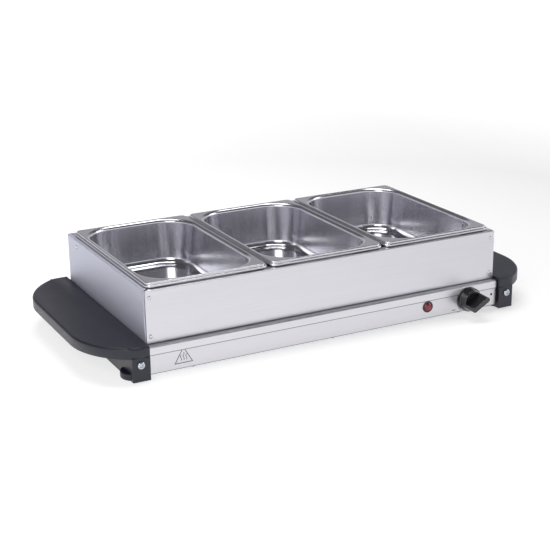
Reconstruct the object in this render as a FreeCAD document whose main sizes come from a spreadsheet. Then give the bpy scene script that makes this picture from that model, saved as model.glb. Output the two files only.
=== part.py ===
"""Electric buffet server: a warming tray with a lift-off rack of three food pans.

The frame is +X to the right, +Y to the back and +Z up, in millimetres. The origin is on
the table, under the middle of the warming plate. The front carries the knob and the lamp.
"""
import FreeCAD, Part
import math
import os

import Sketcher
from FreeCAD import Placement, Rotation, Vector

SIZES = {
    # warming plate and the tray under it
    "plate_end_margin": (0.5, "warming plate past the rack, at each end"),
    "plate_margin": (9.3, "warming plate past the rack, front and back"),
    "plate_top": (42.5, "height of the warming plate over the table"),
    "plate_sheet": (0.8, "stainless sheet of the warming plate"),
    "plate_corner": (2.0, "plate corner radius seen from above"),
    "plate_bend": (2.2, "outer bend radius where the plate turns down"),
    "band_drop": (11.6, "height of the turned-down band"),
    "skirt_gap": (0.2, "gap between the band and the rails behind it"),
    "tray_base": (6.3, "height of the rails' lower edge over the table"),
    "rail_sheet": (0.8, "sheet of the rails and end panels"),
    "rail_bend": (1.2, "outer bend radius of the rails"),
    "rail_foot": (12.0, "width of the rails' lower flange"),
    "rail_head": (10.0, "width of the rails' upper flange"),
    "rail_end_round": (0.7, "rounding of the rails' upright outer edges"),
    "end_tab": (14.0, "width of the end panels' tabs behind the rails"),
    "end_tab_margin": (5.0, "distance of the tabs from both flanges"),
    "flange_gap": (0.5, "gap between neighbouring flanges"),
    "cover_sheet": (0.6, "sheet of the bottom cover"),
    "cover_inset": (1.5, "bottom cover edge, in from the rails' outer face"),
    "slot_length": (46.0, "vent slot length"),
    "slot_width": (3.2, "vent slot width"),
    "slot_pitch": (60.0, "vent slot spacing along the cover"),
    "slot_count": (6.0, "vent slots in a row"),
    "slot_row_inset": (61.3, "vent slot row, in from the rails' faces"),
    "cover_screw_inset": (59.5, "outer cover screws, in from the rails' ends"),
    "tap_radius": (1.75, "self-tapping screw shank"),
    "tap_head_radius": (3.4, "self-tapping screw head"),
    "tap_head": (1.7, "self-tapping screw head height"),
    "tap_length": (6.0, "self-tapping screw shank length"),
    "hole_gap": (0.15, "radial clearance of a screw, stud or rivet in its hole"),
    # heater
    "spreader_left": (25.5, "heat spreader, in from the plate's left end"),
    "spreader_right": (95.5, "heat spreader, in from the plate's right end"),
    "spreader_front": (38.3, "heat spreader, in from the plate's front"),
    "spreader_rear": (28.3, "heat spreader, in from the plate's rear"),
    "spreader_sheet": (1.0, "heat spreader sheet"),
    "element_radius": (3.25, "sheathed element radius"),
    "element_side": (27.0, "outer runs of the element, in from the spreader's sides"),
    "element_end": (40.0, "centres of the element's turns, in from the spreader's ends"),
    "element_tail": (40.0, "last straight of the element past the right-hand turn"),
    "pin_radius": (1.5, "terminal pin radius"),
    "pin_length": (12.0, "terminal pin length"),
    "clamp_width": (14.0, "element clamp strip width"),
    "clamp_sheet": (1.2, "element clamp strip thickness"),
    "clamp_inset": (35.0, "outer clamps, in from the centres of the element's turns"),
    "clamp_overhang": (12.0, "clamp strip past the outer runs"),
    "stud_radius": (2.0, "welded stud radius"),
    "stud_tail": (4.4, "stud past the clamp strip"),
    "nut_height": (3.2, "stud nut height"),
    "nut_flats": (7.0, "stud nut across flats"),
    "mat_gap": (0.9, "insulation under the studs"),
    "mat_margin": (3.0, "insulation, in from the shield's edge"),
    "shield_height": (8.4, "heat shield deck over the bottom cover"),
    "shield_sheet": (0.5, "heat shield sheet"),
    "shield_margin": (4.0, "heat shield past the spreader"),
    # thermostat, knob and lamp
    "control_drop": (19.7, "knob and lamp under the top of the warming plate"),
    "knob_inset": (47.5, "knob, in from the plate's right end"),
    "lamp_spacing": (67.0, "lamp, to the left of the knob"),
    "stat_width": (38.0, "thermostat body width"),
    "stat_depth": (22.5, "thermostat body depth"),
    "stat_height": (20.0, "thermostat body height"),
    "stat_boss": (5.0, "thermostat boss radius"),
    "stat_boss_rise": (1.4, "boss past the rail's outer face"),
    "stat_screw_span": (11.0, "thermostat screws, out from the spindle"),
    "stat_screw": (1.4, "thermostat screw shank"),
    "stat_screw_head": (2.8, "thermostat screw head"),
    "stat_screw_rise": (1.4, "thermostat screw head height"),
    "spindle_radius": (3.0, "spindle radius"),
    "spindle_gap": (0.05, "radial running clearance of the spindle"),
    "spindle_depth": (12.0, "spindle inside the thermostat"),
    "spindle_length": (26.0, "spindle past the rail's outer face"),
    "spindle_flat": (1.2, "depth of the spindle's flat"),
    "flat_length": (14.0, "length of the spindle's flat"),
    "clip_sheet": (0.5, "knob clip thickness"),
    "knob_gap": (2.2, "knob skirt off the rail's outer face"),
    "knob_radius": (17.0, "knob skirt radius"),
    "knob_skirt": (3.0, "knob skirt height"),
    "knob_face_radius": (14.4, "radius of the knob's front face"),
    "knob_face": (10.5, "knob front face, out from its back"),
    "knob_depth": (29.0, "knob depth with the grip"),
    "knob_wall": (2.0, "knob wall"),
    "knob_round": (1.2, "rounding of the knob's edges"),
    "grip_half": (4.2, "half thickness of the grip bar"),
    "grip_radius": (14.6, "reach of the grip bar from the spindle"),
    "grip_angle": (33.0, "grip bar over the horizontal, at rest"),
    "hub_radius": (5.5, "knob hub radius"),
    "lens_radius": (8.0, "lamp lens flange radius"),
    "lens_flange": (1.2, "lamp lens flange thickness"),
    "lens_dome": (5.6, "lamp lens dome radius"),
    "lens_rise": (2.6, "lamp lens dome over the flange"),
    "lamp_radius": (6.0, "lamp holder radius"),
    "lamp_wall": (1.0, "lamp holder wall"),
    "lamp_depth": (16.0, "lamp holder behind the rail"),
    "bulb_radius": (3.0, "neon bulb radius"),
    "bulb_length": (11.0, "neon bulb length"),
    # electrical fittings at the back and the right
    "inlet_inset": (35.5, "cord inlet, in from the plate's right end"),
    "inlet_radius": (4.0, "cord inlet bore"),
    "bushing_radius": (6.0, "cord bushing body radius"),
    "bushing_flange": (7.8, "cord bushing flange radius"),
    "bushing_lip": (2.0, "cord bushing flange thickness"),
    "bushing_length": (14.0, "cord bushing inside the rail"),
    "block_depth": (16.0, "terminal block, out from the end panel"),
    "block_length": (36.0, "terminal block length"),
    "block_height": (20.0, "terminal block height"),
    "block_inset": (72.3, "terminal block middle, in from the plate's rear"),
    "block_raise": (24.0, "terminal block middle over the table"),
    "pole_pitch": (11.0, "spacing of the terminal block's poles"),
    "fuse_radius": (2.0, "thermal fuse radius"),
    "fuse_length": (12.0, "thermal fuse length"),
    "fuse_inset": (60.5, "thermal fuse, in from the plate's right end"),
    "clip_width": (8.0, "fuse clip width"),
    "clip_foot": (5.0, "fuse clip foot length"),
    "wire_radius": (1.0, "internal wire radius over its sleeve"),
    "rivet_radius": (1.6, "blind rivet shank"),
    "rivet_head_radius": (3.0, "blind rivet head"),
    "rivet_head": (1.0, "blind rivet head height"),
    "rivet_inset": (8.0, "earth rivet, in from the rail's end"),
    "tag_sheet": (0.8, "earth tag thickness"),
    "tag_width": (8.0, "earth tag width"),
    "tag_rise": (12.0, "earth tag over its rivet"),
    # end handles
    "handle_gap": (3.0, "handle inner face past the rails' ends"),
    "handle_width": (70.0, "handle plate, inner face to outer edge"),
    "handle_overhang": (4.7, "handle past the warming plate, front and back"),
    "handle_rise": (3.3, "handle top over the warming plate"),
    "handle_edge": (13.8, "height of the handle plate's edge"),
    "handle_arc": (99.0, "radius of the handle plate's side arcs"),
    "handle_arc_rise": (87.0, "depth that each side arc of the handle plate spans"),
    "handle_corner": (9.0, "radius of the handle plate's front and rear corners"),
    "handle_round": (3.0, "rounding of the handle plate's upper edge"),
    "handle_wall": (3.0, "moulded wall of the handles"),
    "beam_width": (21.5, "width of the beam under the handle plate"),
    "beam_base": (2.0, "height of the beam over the table"),
    "beam_round": (1.5, "rounding of the beam's upright outer edges"),
    "cup_radius": (18.5, "foot cup radius"),
    "cup_height": (9.0, "foot cup height"),
    "cup_offset": (10.5, "foot cup centre from the handle's inner face"),
    "cup_inset": (22.0, "foot cup centre, in from the handle's ends"),
    "cup_round": (2.0, "rounding under the foot cup"),
    "foot_radius": (12.5, "rubber foot radius"),
    "foot_gap": (0.2, "gap round the rubber foot"),
    "foot_sink": (6.0, "rubber foot inside its cup"),
    "foot_counterbore": (4.5, "counterbore radius in the foot"),
    "foot_counterbore_depth": (4.0, "counterbore depth in the foot"),
    "foot_bevel": (1.0, "bevel at the foot's lower edge"),
    "strap_sheet": (2.0, "handle bracket thickness"),
    "strap_height": (17.0, "handle bracket height"),
    "strap_base": (12.5, "handle bracket's lower edge over the table"),
    "strap_reach": (17.0, "handle bracket ears, out from the strap"),
    "bolt_radius": (2.5, "handle screw shank"),
    "bolt_head_radius": (4.85, "handle screw head"),
    "bolt_head": (3.2, "handle screw head height"),
    "bolt_length": (13.0, "handle screw shank length"),
    "bolt_height": (23.5, "handle screw over the table"),
    "cross_width": (1.1, "width of the cross recess"),
    "cross_span": (5.2, "span of the cross recess"),
    "cross_depth": (1.8, "depth of the cross recess"),
    # pan rack
    "rack_end_margin": (5.5, "rack past the outer pans' rims"),
    "rack_front_margin": (6.0, "rack past the pans' rims at the front"),
    "rack_rear_margin": (10.0, "rack past the pans' rims at the rear"),
    "rack_sheet": (0.8, "rack sheet"),
    "rack_bend": (1.2, "outer bend radius of the rack's panels"),
    "rack_flange": (12.0, "width of the rack's upper flange"),
    "rack_hem": (6.0, "width of the rack's lower flange"),
    "rack_seam": (1.4, "front panel's ends, in from the rack's ends"),
    "rack_lap": (15.0, "end panels' laps behind the long panels"),
    "rest_gap": (0.3, "gap under a piece that lifts off"),
    "rack_rivet_inset": (7.0, "corner rivets, in from the rack's ends"),
    "rack_rivet_low": (9.5, "lower corner rivets over the rack's lower edge"),
    "rack_rivet_drop": (9.3, "upper corner rivets under the rack's upper edge"),
    "bar_width": (10.0, "cross bar width"),
    "bar_leg": (6.0, "cross bar leg height"),
    "bar_sheet": (1.0, "cross bar sheet"),
    "bar_end_gap": (1.0, "cross bar end to the long panel"),
    "gusset_leg": (46.0, "rear gusset leg along the rack's end"),
    "gusset_return": (30.0, "rear gusset leg along the rear panel"),
    "gusset_height": (16.0, "rear gusset height"),
    "gusset_sheet": (1.0, "rear gusset sheet"),
    "gusset_rivet": (38.0, "side rivet, in from the rear panel"),
    # food pans
    "pan_gap": (2.5, "gap between neighbouring pans' rims"),
    "pan_lift": (12.0, "pan floor over the rack's lower edge"),
    "pan_width": (168.0, "pan rim, left to right"),
    "pan_length": (266.0, "pan rim, front to back"),
    "pan_corner": (9.5, "pan rim corner radius"),
    "pan_sheet": (0.7, "pan sheet"),
    "pan_rim": (6.0, "pan rim height, lip to flange"),
    "pan_step": (2.5, "width of the step round the rim"),
    "pan_step_drop": (2.7, "step below the flange"),
    "pan_bend": (1.3, "outer rounding of the rim's two bends"),
    "pan_flange_side": (8.0, "flange and step beside the opening"),
    "pan_opening_corner": (44.0, "opening corner radius"),
    "pan_depth": (63.0, "pan depth under its flange"),
    "pan_draft": (6.0, "wall draft, in degrees"),
    "pan_floor_round": (15.0, "outer radius between the floor and the walls"),
}


class Length:
    """A number together with the sheet expression that gives it."""

    def __init__(self, number, text):
        self.number = float(number)
        self.text = text

    def __float__(self):
        return self.number

    def __neg__(self):
        return Length(-self.number, f"(-1 * {self.text})")

    def __add__(self, other):
        other = length(other)
        return Length(self.number + other.number, f"({self.text} + {other.text})")

    def __sub__(self, other):
        other = length(other)
        return Length(self.number - other.number, f"({self.text} - {other.text})")

    def __mul__(self, other):
        other = length(other)
        return Length(self.number * other.number, f"({self.text} * {other.text})")

    def __truediv__(self, other):
        other = length(other)
        return Length(self.number / other.number, f"({self.text} / {other.text})")

    def __radd__(self, other):
        return length(other) + self

    def __rsub__(self, other):
        return length(other) - self

    def __rmul__(self, other):
        return length(other) * self


def length(value):
    """Return a Length for a Length or a plain number."""
    if isinstance(value, Length):
        return value
    return Length(value, repr(float(value)))


def root(value):
    """Return the square root of a Length product."""
    return Length(math.sqrt(value.number), f"sqrt({value.text})")


doc = FreeCAD.newDocument("buffet_server")
sheet = doc.addObject("Spreadsheet::Sheet", "Sizes")
for row, (alias, (number, meaning)) in enumerate(SIZES.items(), start=1):
    sheet.set(f"A{row}", alias)
    sheet.set(f"B{row}", str(number))
    sheet.setAlias(f"B{row}", alias)
    sheet.set(f"C{row}", meaning)
doc.recompute()


class Sizes:
    """Each size of the sheet as an attribute, bound to its cell."""

    def __getattr__(self, alias):
        return Length(sheet.get(alias), f"Sizes.{alias}")


size = Sizes()
nodes = []

TURNS = {
    "+z": Rotation(),
    "-z": Rotation(Vector(1, 0, 0), 180),
    "+x": Rotation(Vector(0, 1, 0), 90),
    "-x": Rotation(Vector(0, 1, 0), -90),
    "+y": Rotation(Vector(1, 0, 0), -90),
    "-y": Rotation(Vector(1, 0, 0), 90),
}
BEHIND = {"+z": "-z", "-z": "+z", "+x": "-x", "-x": "+x", "+y": "-y", "-y": "+y"}
SIDES = (-1, 1)


# ---------------------------------------------------------------- solids and booleans

def bind(thing, **properties):
    """Bind properties of a document object to Lengths."""
    for name, value in properties.items():
        thing.setExpression(name, length(value).text)


def put(thing, x, y, z, turn="+z"):
    """Place an object, with its own +Z axis turned to the named direction."""
    thing.Placement = Placement(Vector(float(x), float(y), float(z)), TURNS[turn])
    for axis, value in zip("xyz", (x, y, z)):
        thing.setExpression(f"Placement.Base.{axis}", length(value).text)
    return thing


def block(x, y, z):
    """Return a box that fills the three (low, high) spans."""
    solid = doc.addObject("Part::Box", "block")
    spans = [length(high) - length(low) for low, high in (x, y, z)]
    bind(solid, Length=spans[0], Width=spans[1], Height=spans[2])
    return put(solid, x[0], y[0], z[0])


def rod(radius, reach, x, y, z, turn="+z"):
    """Return a cylinder that starts at a point and runs in the named direction."""
    solid = doc.addObject("Part::Cylinder", "rod")
    bind(solid, Radius=radius, Height=reach)
    return put(solid, x, y, z, turn)


def ball(radius, x, y, z):
    """Return a sphere."""
    solid = doc.addObject("Part::Sphere", "ball")
    bind(solid, Radius=radius)
    return put(solid, x, y, z)


def fuse(*solids):
    """Return one solid made of several that meet."""
    joined = doc.addObject("Part::MultiFuse", "joined")
    joined.Shapes = list(solids)
    joined.Refine = True
    return joined


def cut(base, *tools):
    """Return a solid less the tools."""
    remaining = doc.addObject("Part::Cut", "remaining")
    remaining.Base = base
    remaining.Tool = tools[0] if len(tools) == 1 else fuse(*tools)
    remaining.Refine = True
    return remaining


def common(first, second):
    """Return what two solids share."""
    shared = doc.addObject("Part::Common", "shared")
    shared.Base = first
    shared.Tool = second
    return shared


def group(*solids):
    """Return separate solids as one object."""
    together = doc.addObject("Part::Compound", "together")
    together.Links = list(solids)
    return together


def mirror(source, normal):
    """Return a mirror image through the origin."""
    image = doc.addObject("Part::Mirroring", "image")
    image.Source = source
    image.Normal = normal
    return image


def node(thing, name):
    """Name a finished sub-part and list it for export."""
    thing.Label = name
    nodes.append(thing)
    return thing


def screw(x, y, z, turn, head_radius, head_height, radius, reach):
    """Return a plain screw: its head points the named way from the seat at the point."""
    head = rod(head_radius, head_height, x, y, z, turn)
    shank = rod(radius, reach, x, y, z, BEHIND[turn])
    return fuse(head, shank)


def domed(x, y, z, turn, head_radius, head_height, radius, reach):
    """Return a domed screw or rivet: its head points the named way from its seat."""
    crown = (head_radius * head_radius + head_height * head_height) / (2 * head_height)
    sign = -1 if turn[0] == "-" else 1
    centre = {"x": length(x), "y": length(y), "z": length(z)}
    centre[turn[1]] = centre[turn[1]] - sign * (crown - head_height)
    head = common(
        rod(head_radius, head_height + 1, x, y, z, turn),
        ball(crown, centre["x"], centre["y"], centre["z"]),
    )
    return fuse(head, rod(radius, reach, x, y, z, BEHIND[turn]))


# ---------------------------------------------------------------- bodies and sketches

def new_body(name):
    """Return an empty body."""
    return doc.addObject("PartDesign::Body", name + "_body")


def origin_item(body, role):
    """Return one of a body's own origin planes or axes."""
    return next(item for item in body.Origin.OriginFeatures if item.Role == role)


def sketch_on(body, plane, offset=0.0):
    """Return a sketch on an origin plane of the body, moved along the plane's normal."""
    sketch = body.newObject("Sketcher::SketchObject", "outline")
    sketch.AttachmentSupport = [(origin_item(body, plane), "")]
    sketch.MapMode = "FlatFace"
    sketch.AttachmentOffset = Placement(Vector(0, 0, float(offset)), Rotation())
    sketch.setExpression("AttachmentOffset.Base.z", length(offset).text)
    return sketch


def fix(sketch, kind, value, *where):
    """Add a dimension to a sketch and bind it to a Length."""
    index = sketch.addConstraint(Sketcher.Constraint(kind, *where, float(value)))
    sketch.setExpression(f"Constraints[{index}]", length(value).text)


def anchor(sketch, edge, end, x, y):
    """Fix an end of an edge at a point of the sketch."""
    fix(sketch, "DistanceX", x, -1, 1, edge, end)
    fix(sketch, "DistanceY", y, -1, 1, edge, end)


def polygon(sketch, points):
    """Add a closed straight-sided outline, each corner at its own two sizes."""
    places = [Vector(float(x), float(y), 0) for x, y in points]
    first = sketch.GeometryCount
    for start, end in zip(places, places[1:] + places[:1]):
        sketch.addGeometry(Part.LineSegment(start, end))
    last = first + len(points) - 1
    for index in range(first, last):
        sketch.addConstraint(Sketcher.Constraint("Coincident", index, 2, index + 1, 1))
    sketch.addConstraint(Sketcher.Constraint("Coincident", last, 2, first, 1))
    for index, (x, y) in enumerate(points):
        anchor(sketch, first + index, 1, x, y)


def rectangle(sketch, x, y):
    """Add a rectangle over two (low, high) spans."""
    polygon(sketch, [(x[0], y[0]), (x[1], y[0]), (x[1], y[1]), (x[0], y[1])])


def circle(sketch, x, y, radius):
    """Add a circle."""
    ring = Part.Circle(Vector(float(x), float(y), 0), Vector(0, 0, 1), float(radius))
    index = sketch.addGeometry(ring)
    fix(sketch, "Radius", radius, index)
    anchor(sketch, index, 3, x, y)


def rounded_rectangle(sketch, middle, width, height, corner):
    """Add a rectangle with rounded corners about a middle point."""
    cx, cy = (length(value) for value in middle)
    right, top = cx + width / 2, cy + height / 2
    left, low = cx - width / 2, cy - height / 2
    half, span, bend = float(width) / 2, float(height) / 2, float(corner)
    centre = Vector(float(cx), float(cy), 0)
    first = sketch.GeometryCount
    for quarter in range(4):
        out, along = (half, span) if quarter % 2 == 0 else (span, half)
        turn = Rotation(Vector(0, 0, 1), 90 * quarter)
        start = centre + turn.multVec(Vector(out, bend - along, 0))
        end = centre + turn.multVec(Vector(out, along - bend, 0))
        hub = centre + turn.multVec(Vector(out - bend, along - bend, 0))
        sketch.addGeometry(Part.LineSegment(start, end))
        round_corner = Part.Circle(hub, Vector(0, 0, 1), bend)
        angle = math.radians(90 * quarter)
        sketch.addGeometry(Part.ArcOfCircle(round_corner, angle, angle + math.pi / 2))
    for quarter in range(4):
        side, arc = first + 2 * quarter, first + 2 * quarter + 1
        following = first + (2 * quarter + 2) % 8
        sketch.addConstraint(Sketcher.Constraint("Tangent", side, 2, arc, 1))
        sketch.addConstraint(Sketcher.Constraint("Tangent", arc, 2, following, 1))
        kind = "Vertical" if quarter % 2 == 0 else "Horizontal"
        sketch.addConstraint(Sketcher.Constraint(kind, side))
        if quarter:
            sketch.addConstraint(Sketcher.Constraint("Equal", first + 1, arc))
    fix(sketch, "Radius", corner, first + 1)
    fix(sketch, "DistanceX", right, -1, 1, first, 1)
    fix(sketch, "DistanceY", top, -1, 1, first + 2, 1)
    fix(sketch, "DistanceX", left, -1, 1, first + 4, 1)
    fix(sketch, "DistanceY", low, -1, 1, first + 6, 1)


def pad(body, sketch, reach, reverse=False, middle=False, draft=None):
    """Add material over a sketch."""
    feature = body.newObject("PartDesign::Pad", "pad")
    feature.Profile = sketch
    feature.Reversed = reverse
    feature.Midplane = middle
    bind(feature, Length=reach)
    if draft is not None:
        bind(feature, TaperAngle=draft)
    doc.recompute()
    return feature


def pocket(body, sketch, reach, reverse=False, draft=None):
    """Take material away over a sketch, and make sure that it did."""
    before = body.Shape.Volume
    feature = body.newObject("PartDesign::Pocket", "pocket")
    feature.Profile = sketch
    feature.Reversed = reverse
    bind(feature, Length=reach)
    if draft is not None:
        bind(feature, TaperAngle=draft)
    doc.recompute()
    if body.Shape.Volume >= before:
        raise RuntimeError(f"{body.Name}: a pocket took nothing away")
    return feature


def round_edges(body, radius, wanted):
    """Round the edges of the body's last feature for which wanted(edge) is true."""
    base = body.Tip
    names = [f"Edge{i}" for i, edge in enumerate(base.Shape.Edges, start=1) if wanted(edge)]
    if not names:
        raise RuntimeError(f"{body.Name}: no edge to round")
    feature = body.newObject("PartDesign::Fillet", "round")
    feature.Base = (base, names)
    bind(feature, Radius=radius)
    doc.recompute()
    return feature


def near(value, target, slack=0.02):
    """Say whether a coordinate is at a Length."""
    return abs(value - float(target)) < slack


def flat_at(shape, axis, target):
    """Say whether a face or edge lies wholly at one coordinate of an axis."""
    box = shape.BoundBox
    low, high = getattr(box, axis + "Min"), getattr(box, axis + "Max")
    return near(low, target) and near(high, target)


def upright(edge):
    """Say whether an edge runs straight up."""
    box = edge.BoundBox
    return box.ZLength > 0.1 and box.XLength < 0.01 and box.YLength < 0.01


def sorted_span(first, second):
    """Return two Lengths as a (low, high) span."""
    return (first, second) if float(first) < float(second) else (second, first)


# ---------------------------------------------------------------- shared places

pan_pitch = size.pan_width + size.pan_gap
pan_y = (size.rack_front_margin - size.rack_rear_margin) / 2
rack_length = pan_pitch * 2 + size.pan_width + size.rack_end_margin * 2
rack_depth = size.pan_length + size.rack_front_margin + size.rack_rear_margin
rack_height = size.pan_depth + size.pan_lift - size.pan_rim - size.rest_gap
rivet_heights = (size.rack_rivet_low, rack_height - size.rack_rivet_drop)

tray_length = rack_length + size.plate_end_margin * 2
tray_depth = rack_depth + size.plate_margin * 2
tray_half = tray_length / 2
tray_half_depth = tray_depth / 2
plate_under = size.plate_top - size.plate_sheet
rail_inset = size.plate_sheet + size.skirt_gap
rail_face = tray_half_depth - rail_inset
rail_back = rail_face - size.rail_sheet
rail_end = tray_half - rail_inset
cover_top = size.tray_base
foot_line = rail_back - size.rail_foot / 2
cover_screw_x = rail_end - size.cover_screw_inset
slot_row = rail_face - size.slot_row_inset
cover_screws_at = [
    (side * along, depth * foot_line)
    for depth in SIDES
    for side, along in ((-1, cover_screw_x), (1, 0.0), (1, cover_screw_x))
]
rivet_x = rail_end - size.rivet_inset
control_z = size.plate_top - size.control_drop
knob_x = tray_half - size.knob_inset
lamp_x = knob_x - size.lamp_spacing
inlet_x = tray_half - size.inlet_inset
fuse_x = tray_half - size.fuse_inset
block_y = tray_half_depth - size.block_inset
stat_back = size.stat_depth - rail_back

handle_inner = rail_end + size.handle_gap
handle_outer = handle_inner + size.handle_width
handle_depth = tray_depth + size.handle_overhang * 2
handle_top = size.plate_top + size.handle_rise
bolt_x = handle_inner + size.cup_offset
cup_y = handle_depth / 2 - size.cup_inset


# ---------------------------------------------------------------- tray housing

def make_hot_plate():
    body = new_body("hot_plate")
    outline = sketch_on(body, "XY_Plane", size.plate_top - size.band_drop)
    rounded_rectangle(outline, (0, 0), tray_length, tray_depth, size.plate_corner)
    pad(body, outline, size.band_drop)
    round_edges(body, size.plate_bend, lambda edge: flat_at(edge, "Z", size.plate_top))
    cavity = sketch_on(body, "XY_Plane", size.plate_top - size.band_drop)
    rounded_rectangle(cavity, (0, 0), tray_length - size.plate_sheet * 2,
                      tray_depth - size.plate_sheet * 2,
                      size.plate_corner - size.plate_sheet)
    pocket(body, cavity, size.band_drop - size.plate_sheet, reverse=True)
    round_edges(body, size.plate_bend - size.plate_sheet,
                lambda edge: flat_at(edge, "Z", plate_under))
    node(body, "hot_plate")


def rail_section(side):
    """Return the corners of a rail's C section, as (depth, height) pairs."""
    face, back = side * rail_face, side * rail_back
    foot = side * (rail_back - size.rail_foot)
    head = side * (rail_back - size.rail_head)
    sheet_top = size.tray_base + size.rail_sheet
    head_under = plate_under - size.rail_sheet
    return [
        (face, size.tray_base), (foot, size.tray_base), (foot, sheet_top),
        (back, sheet_top), (back, head_under), (head, head_under),
        (head, plate_under), (face, plate_under),
    ]


def make_rail(side, name, holes):
    """Make a rail and drill its face; holes lists (x, height, radius)."""
    body = new_body(name)
    section = sketch_on(body, "YZ_Plane")
    polygon(section, rail_section(side))
    pad(body, section, rail_end * 2, middle=True)
    round_edges(
        body, size.rail_bend,
        lambda edge: flat_at(edge, "Y", side * rail_face)
        and (flat_at(edge, "Z", size.tray_base) or flat_at(edge, "Z", plate_under)),
    )
    wall_inner = rail_end - size.rail_sheet - size.skirt_gap
    relief = sketch_on(body, "XY_Plane", size.tray_base - 1)
    for end in SIDES:
        rectangle(relief, sorted_span(end * wall_inner, end * (rail_end + 1)),
                  sorted_span(side * (rail_back - size.rail_foot - 1), side * rail_back))
    pocket(body, relief, plate_under - size.tray_base + 2, reverse=True)
    round_edges(body, size.rail_end_round,
                lambda edge: upright(edge) and flat_at(edge, "Y", side * rail_face))
    face = sketch_on(body, "XZ_Plane", -side * (rail_back - 1))
    for x, height, radius in holes:
        circle(face, x, height, radius)
    pocket(body, face, size.rail_sheet + 2, reverse=side < 0)
    foot = sketch_on(body, "XY_Plane", size.tray_base)
    for x, y in cover_screws_at:
        if float(y) * side > 0:
            circle(foot, x, y, size.tap_radius + size.hole_gap)
    pocket(body, foot, size.rail_sheet, reverse=True)
    node(body, name)


def make_rails():
    stat_screw = size.stat_screw + size.hole_gap
    make_rail(-1, "front_fascia", [
        (lamp_x, control_z, size.lamp_radius + size.hole_gap),
        (knob_x, control_z, size.stat_boss + size.hole_gap),
        (knob_x - size.stat_screw_span, control_z, stat_screw),
        (knob_x + size.stat_screw_span, control_z, stat_screw),
        (rivet_x, control_z, size.rivet_radius + size.hole_gap),
    ])
    make_rail(1, "rear_fascia", [
        (inlet_x, control_z, size.bushing_radius + size.hole_gap),
    ])


def make_end_panels():
    """Make the right end: a wall with two flanges and two tabs; mirror it for the left."""
    body = new_body("right_end_panel")
    inner = rail_end - size.rail_sheet
    foot, head = rail_end - size.rail_foot, rail_end - size.rail_head
    sheet_top = size.tray_base + size.rail_sheet
    head_under = plate_under - size.rail_sheet
    section = sketch_on(body, "XZ_Plane")
    polygon(section, [
        (rail_end, size.tray_base), (rail_end, plate_under), (head, plate_under),
        (head, head_under), (inner, head_under), (inner, sheet_top), (foot, sheet_top),
        (foot, size.tray_base),
    ])
    pad(body, section, rail_back * 2, middle=True)
    round_edges(
        body, size.rail_bend,
        lambda edge: flat_at(edge, "X", rail_end)
        and (flat_at(edge, "Z", size.tray_base) or flat_at(edge, "Z", plate_under)),
    )
    reach = rail_back - size.rail_foot - size.flange_gap
    relief = sketch_on(body, "XY_Plane", size.tray_base - 1)
    for end in SIDES:
        rectangle(relief, (foot - 1, inner), sorted_span(end * reach, end * (rail_back + 1)))
    pocket(body, relief, plate_under - size.tray_base + 2, reverse=True)
    tabs = sketch_on(body, "XY_Plane", size.tray_base + size.end_tab_margin)
    for end in SIDES:
        rectangle(tabs, (rail_end - size.end_tab, inner),
                  sorted_span(end * (rail_back - size.rail_sheet), end * rail_back))
    pad(body, tabs, plate_under - size.tray_base - size.end_tab_margin * 2)
    rivet_hole = rod(size.rivet_radius + size.hole_gap, size.rail_sheet * 3,
                     rivet_x, size.rail_sheet * 2 - rail_back, control_z, "-y")
    block_hole = rod(size.tap_radius + size.hole_gap, size.rail_sheet * 3,
                     inner - size.rail_sheet, block_y, size.block_raise, "+x")
    node(mirror(body, Vector(1, 0, 0)), "left_end_panel")
    node(cut(body, rivet_hole, block_hole), "right_end_panel")


def make_bottom_cover():
    """Make the slotted sheet under the tray and its screws."""
    body = new_body("bottom_cover")
    outline = sketch_on(body, "XY_Plane", cover_top)
    edge_x, edge_y = rail_end - size.cover_inset, rail_face - size.cover_inset
    rectangle(outline, (-edge_x, edge_x), (-edge_y, edge_y))
    pad(body, outline, size.cover_sheet, reverse=True)
    holes = sketch_on(body, "XY_Plane", cover_top)
    for x, y in cover_screws_at:
        circle(holes, x, y, size.tap_radius + size.hole_gap)
    pocket(body, holes, size.cover_sheet)
    row_start = -1 * size.slot_pitch * (size.slot_count - 1) / 2
    for side in SIDES:
        slot = sketch_on(body, "XY_Plane", cover_top)
        rounded_rectangle(slot, (row_start, side * slot_row),
                          size.slot_length, size.slot_width, size.slot_width * 0.45)
        first = pocket(body, slot, size.cover_sheet)
        row_of_slots = body.newObject("PartDesign::LinearPattern", "slots")
        row_of_slots.Originals = [first]
        row_of_slots.Direction = (origin_item(body, "X_Axis"), [""])
        bind(row_of_slots, Length=size.slot_pitch * (size.slot_count - 1),
             Occurrences=size.slot_count)
        body.Tip = row_of_slots
        doc.recompute()
    node(body, "bottom_cover")
    under = cover_top - size.cover_sheet
    node(group(*[
        screw(x, y, under, "-z", size.tap_head_radius, size.tap_head,
              size.tap_radius, size.tap_length)
        for x, y in cover_screws_at
    ]), "cover_screws")


# ---------------------------------------------------------------- heater

heat_x = (size.spreader_left - size.spreader_right) / 2
heat_y = (size.spreader_front - size.spreader_rear) / 2
spreader_length = tray_length - size.spreader_left - size.spreader_right
spreader_depth = tray_depth - size.spreader_front - size.spreader_rear
element_pitch = (spreader_depth - size.element_side * 2) / 3
element_run = spreader_length - size.element_end * 2
clamp_spread = element_run / 2 - size.clamp_inset
spreader_under = plate_under - size.spreader_sheet
element_axis = spreader_under - size.element_radius
clamp_top = element_axis - size.element_radius
clamp_under = clamp_top - size.clamp_sheet
stud_base = clamp_under - size.stud_tail
run_lines = [heat_y + element_pitch * step for step in (-1.5, -0.5, 0.5, 1.5)]
turn_left = heat_x - element_run / 2
turn_right = heat_x + element_run / 2
tail_end = turn_right + size.element_tail
studs_at = [
    (heat_x + side * clamp_spread, heat_y + row * element_pitch)
    for side in (-1, 0, 1) for row in SIDES
]


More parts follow.
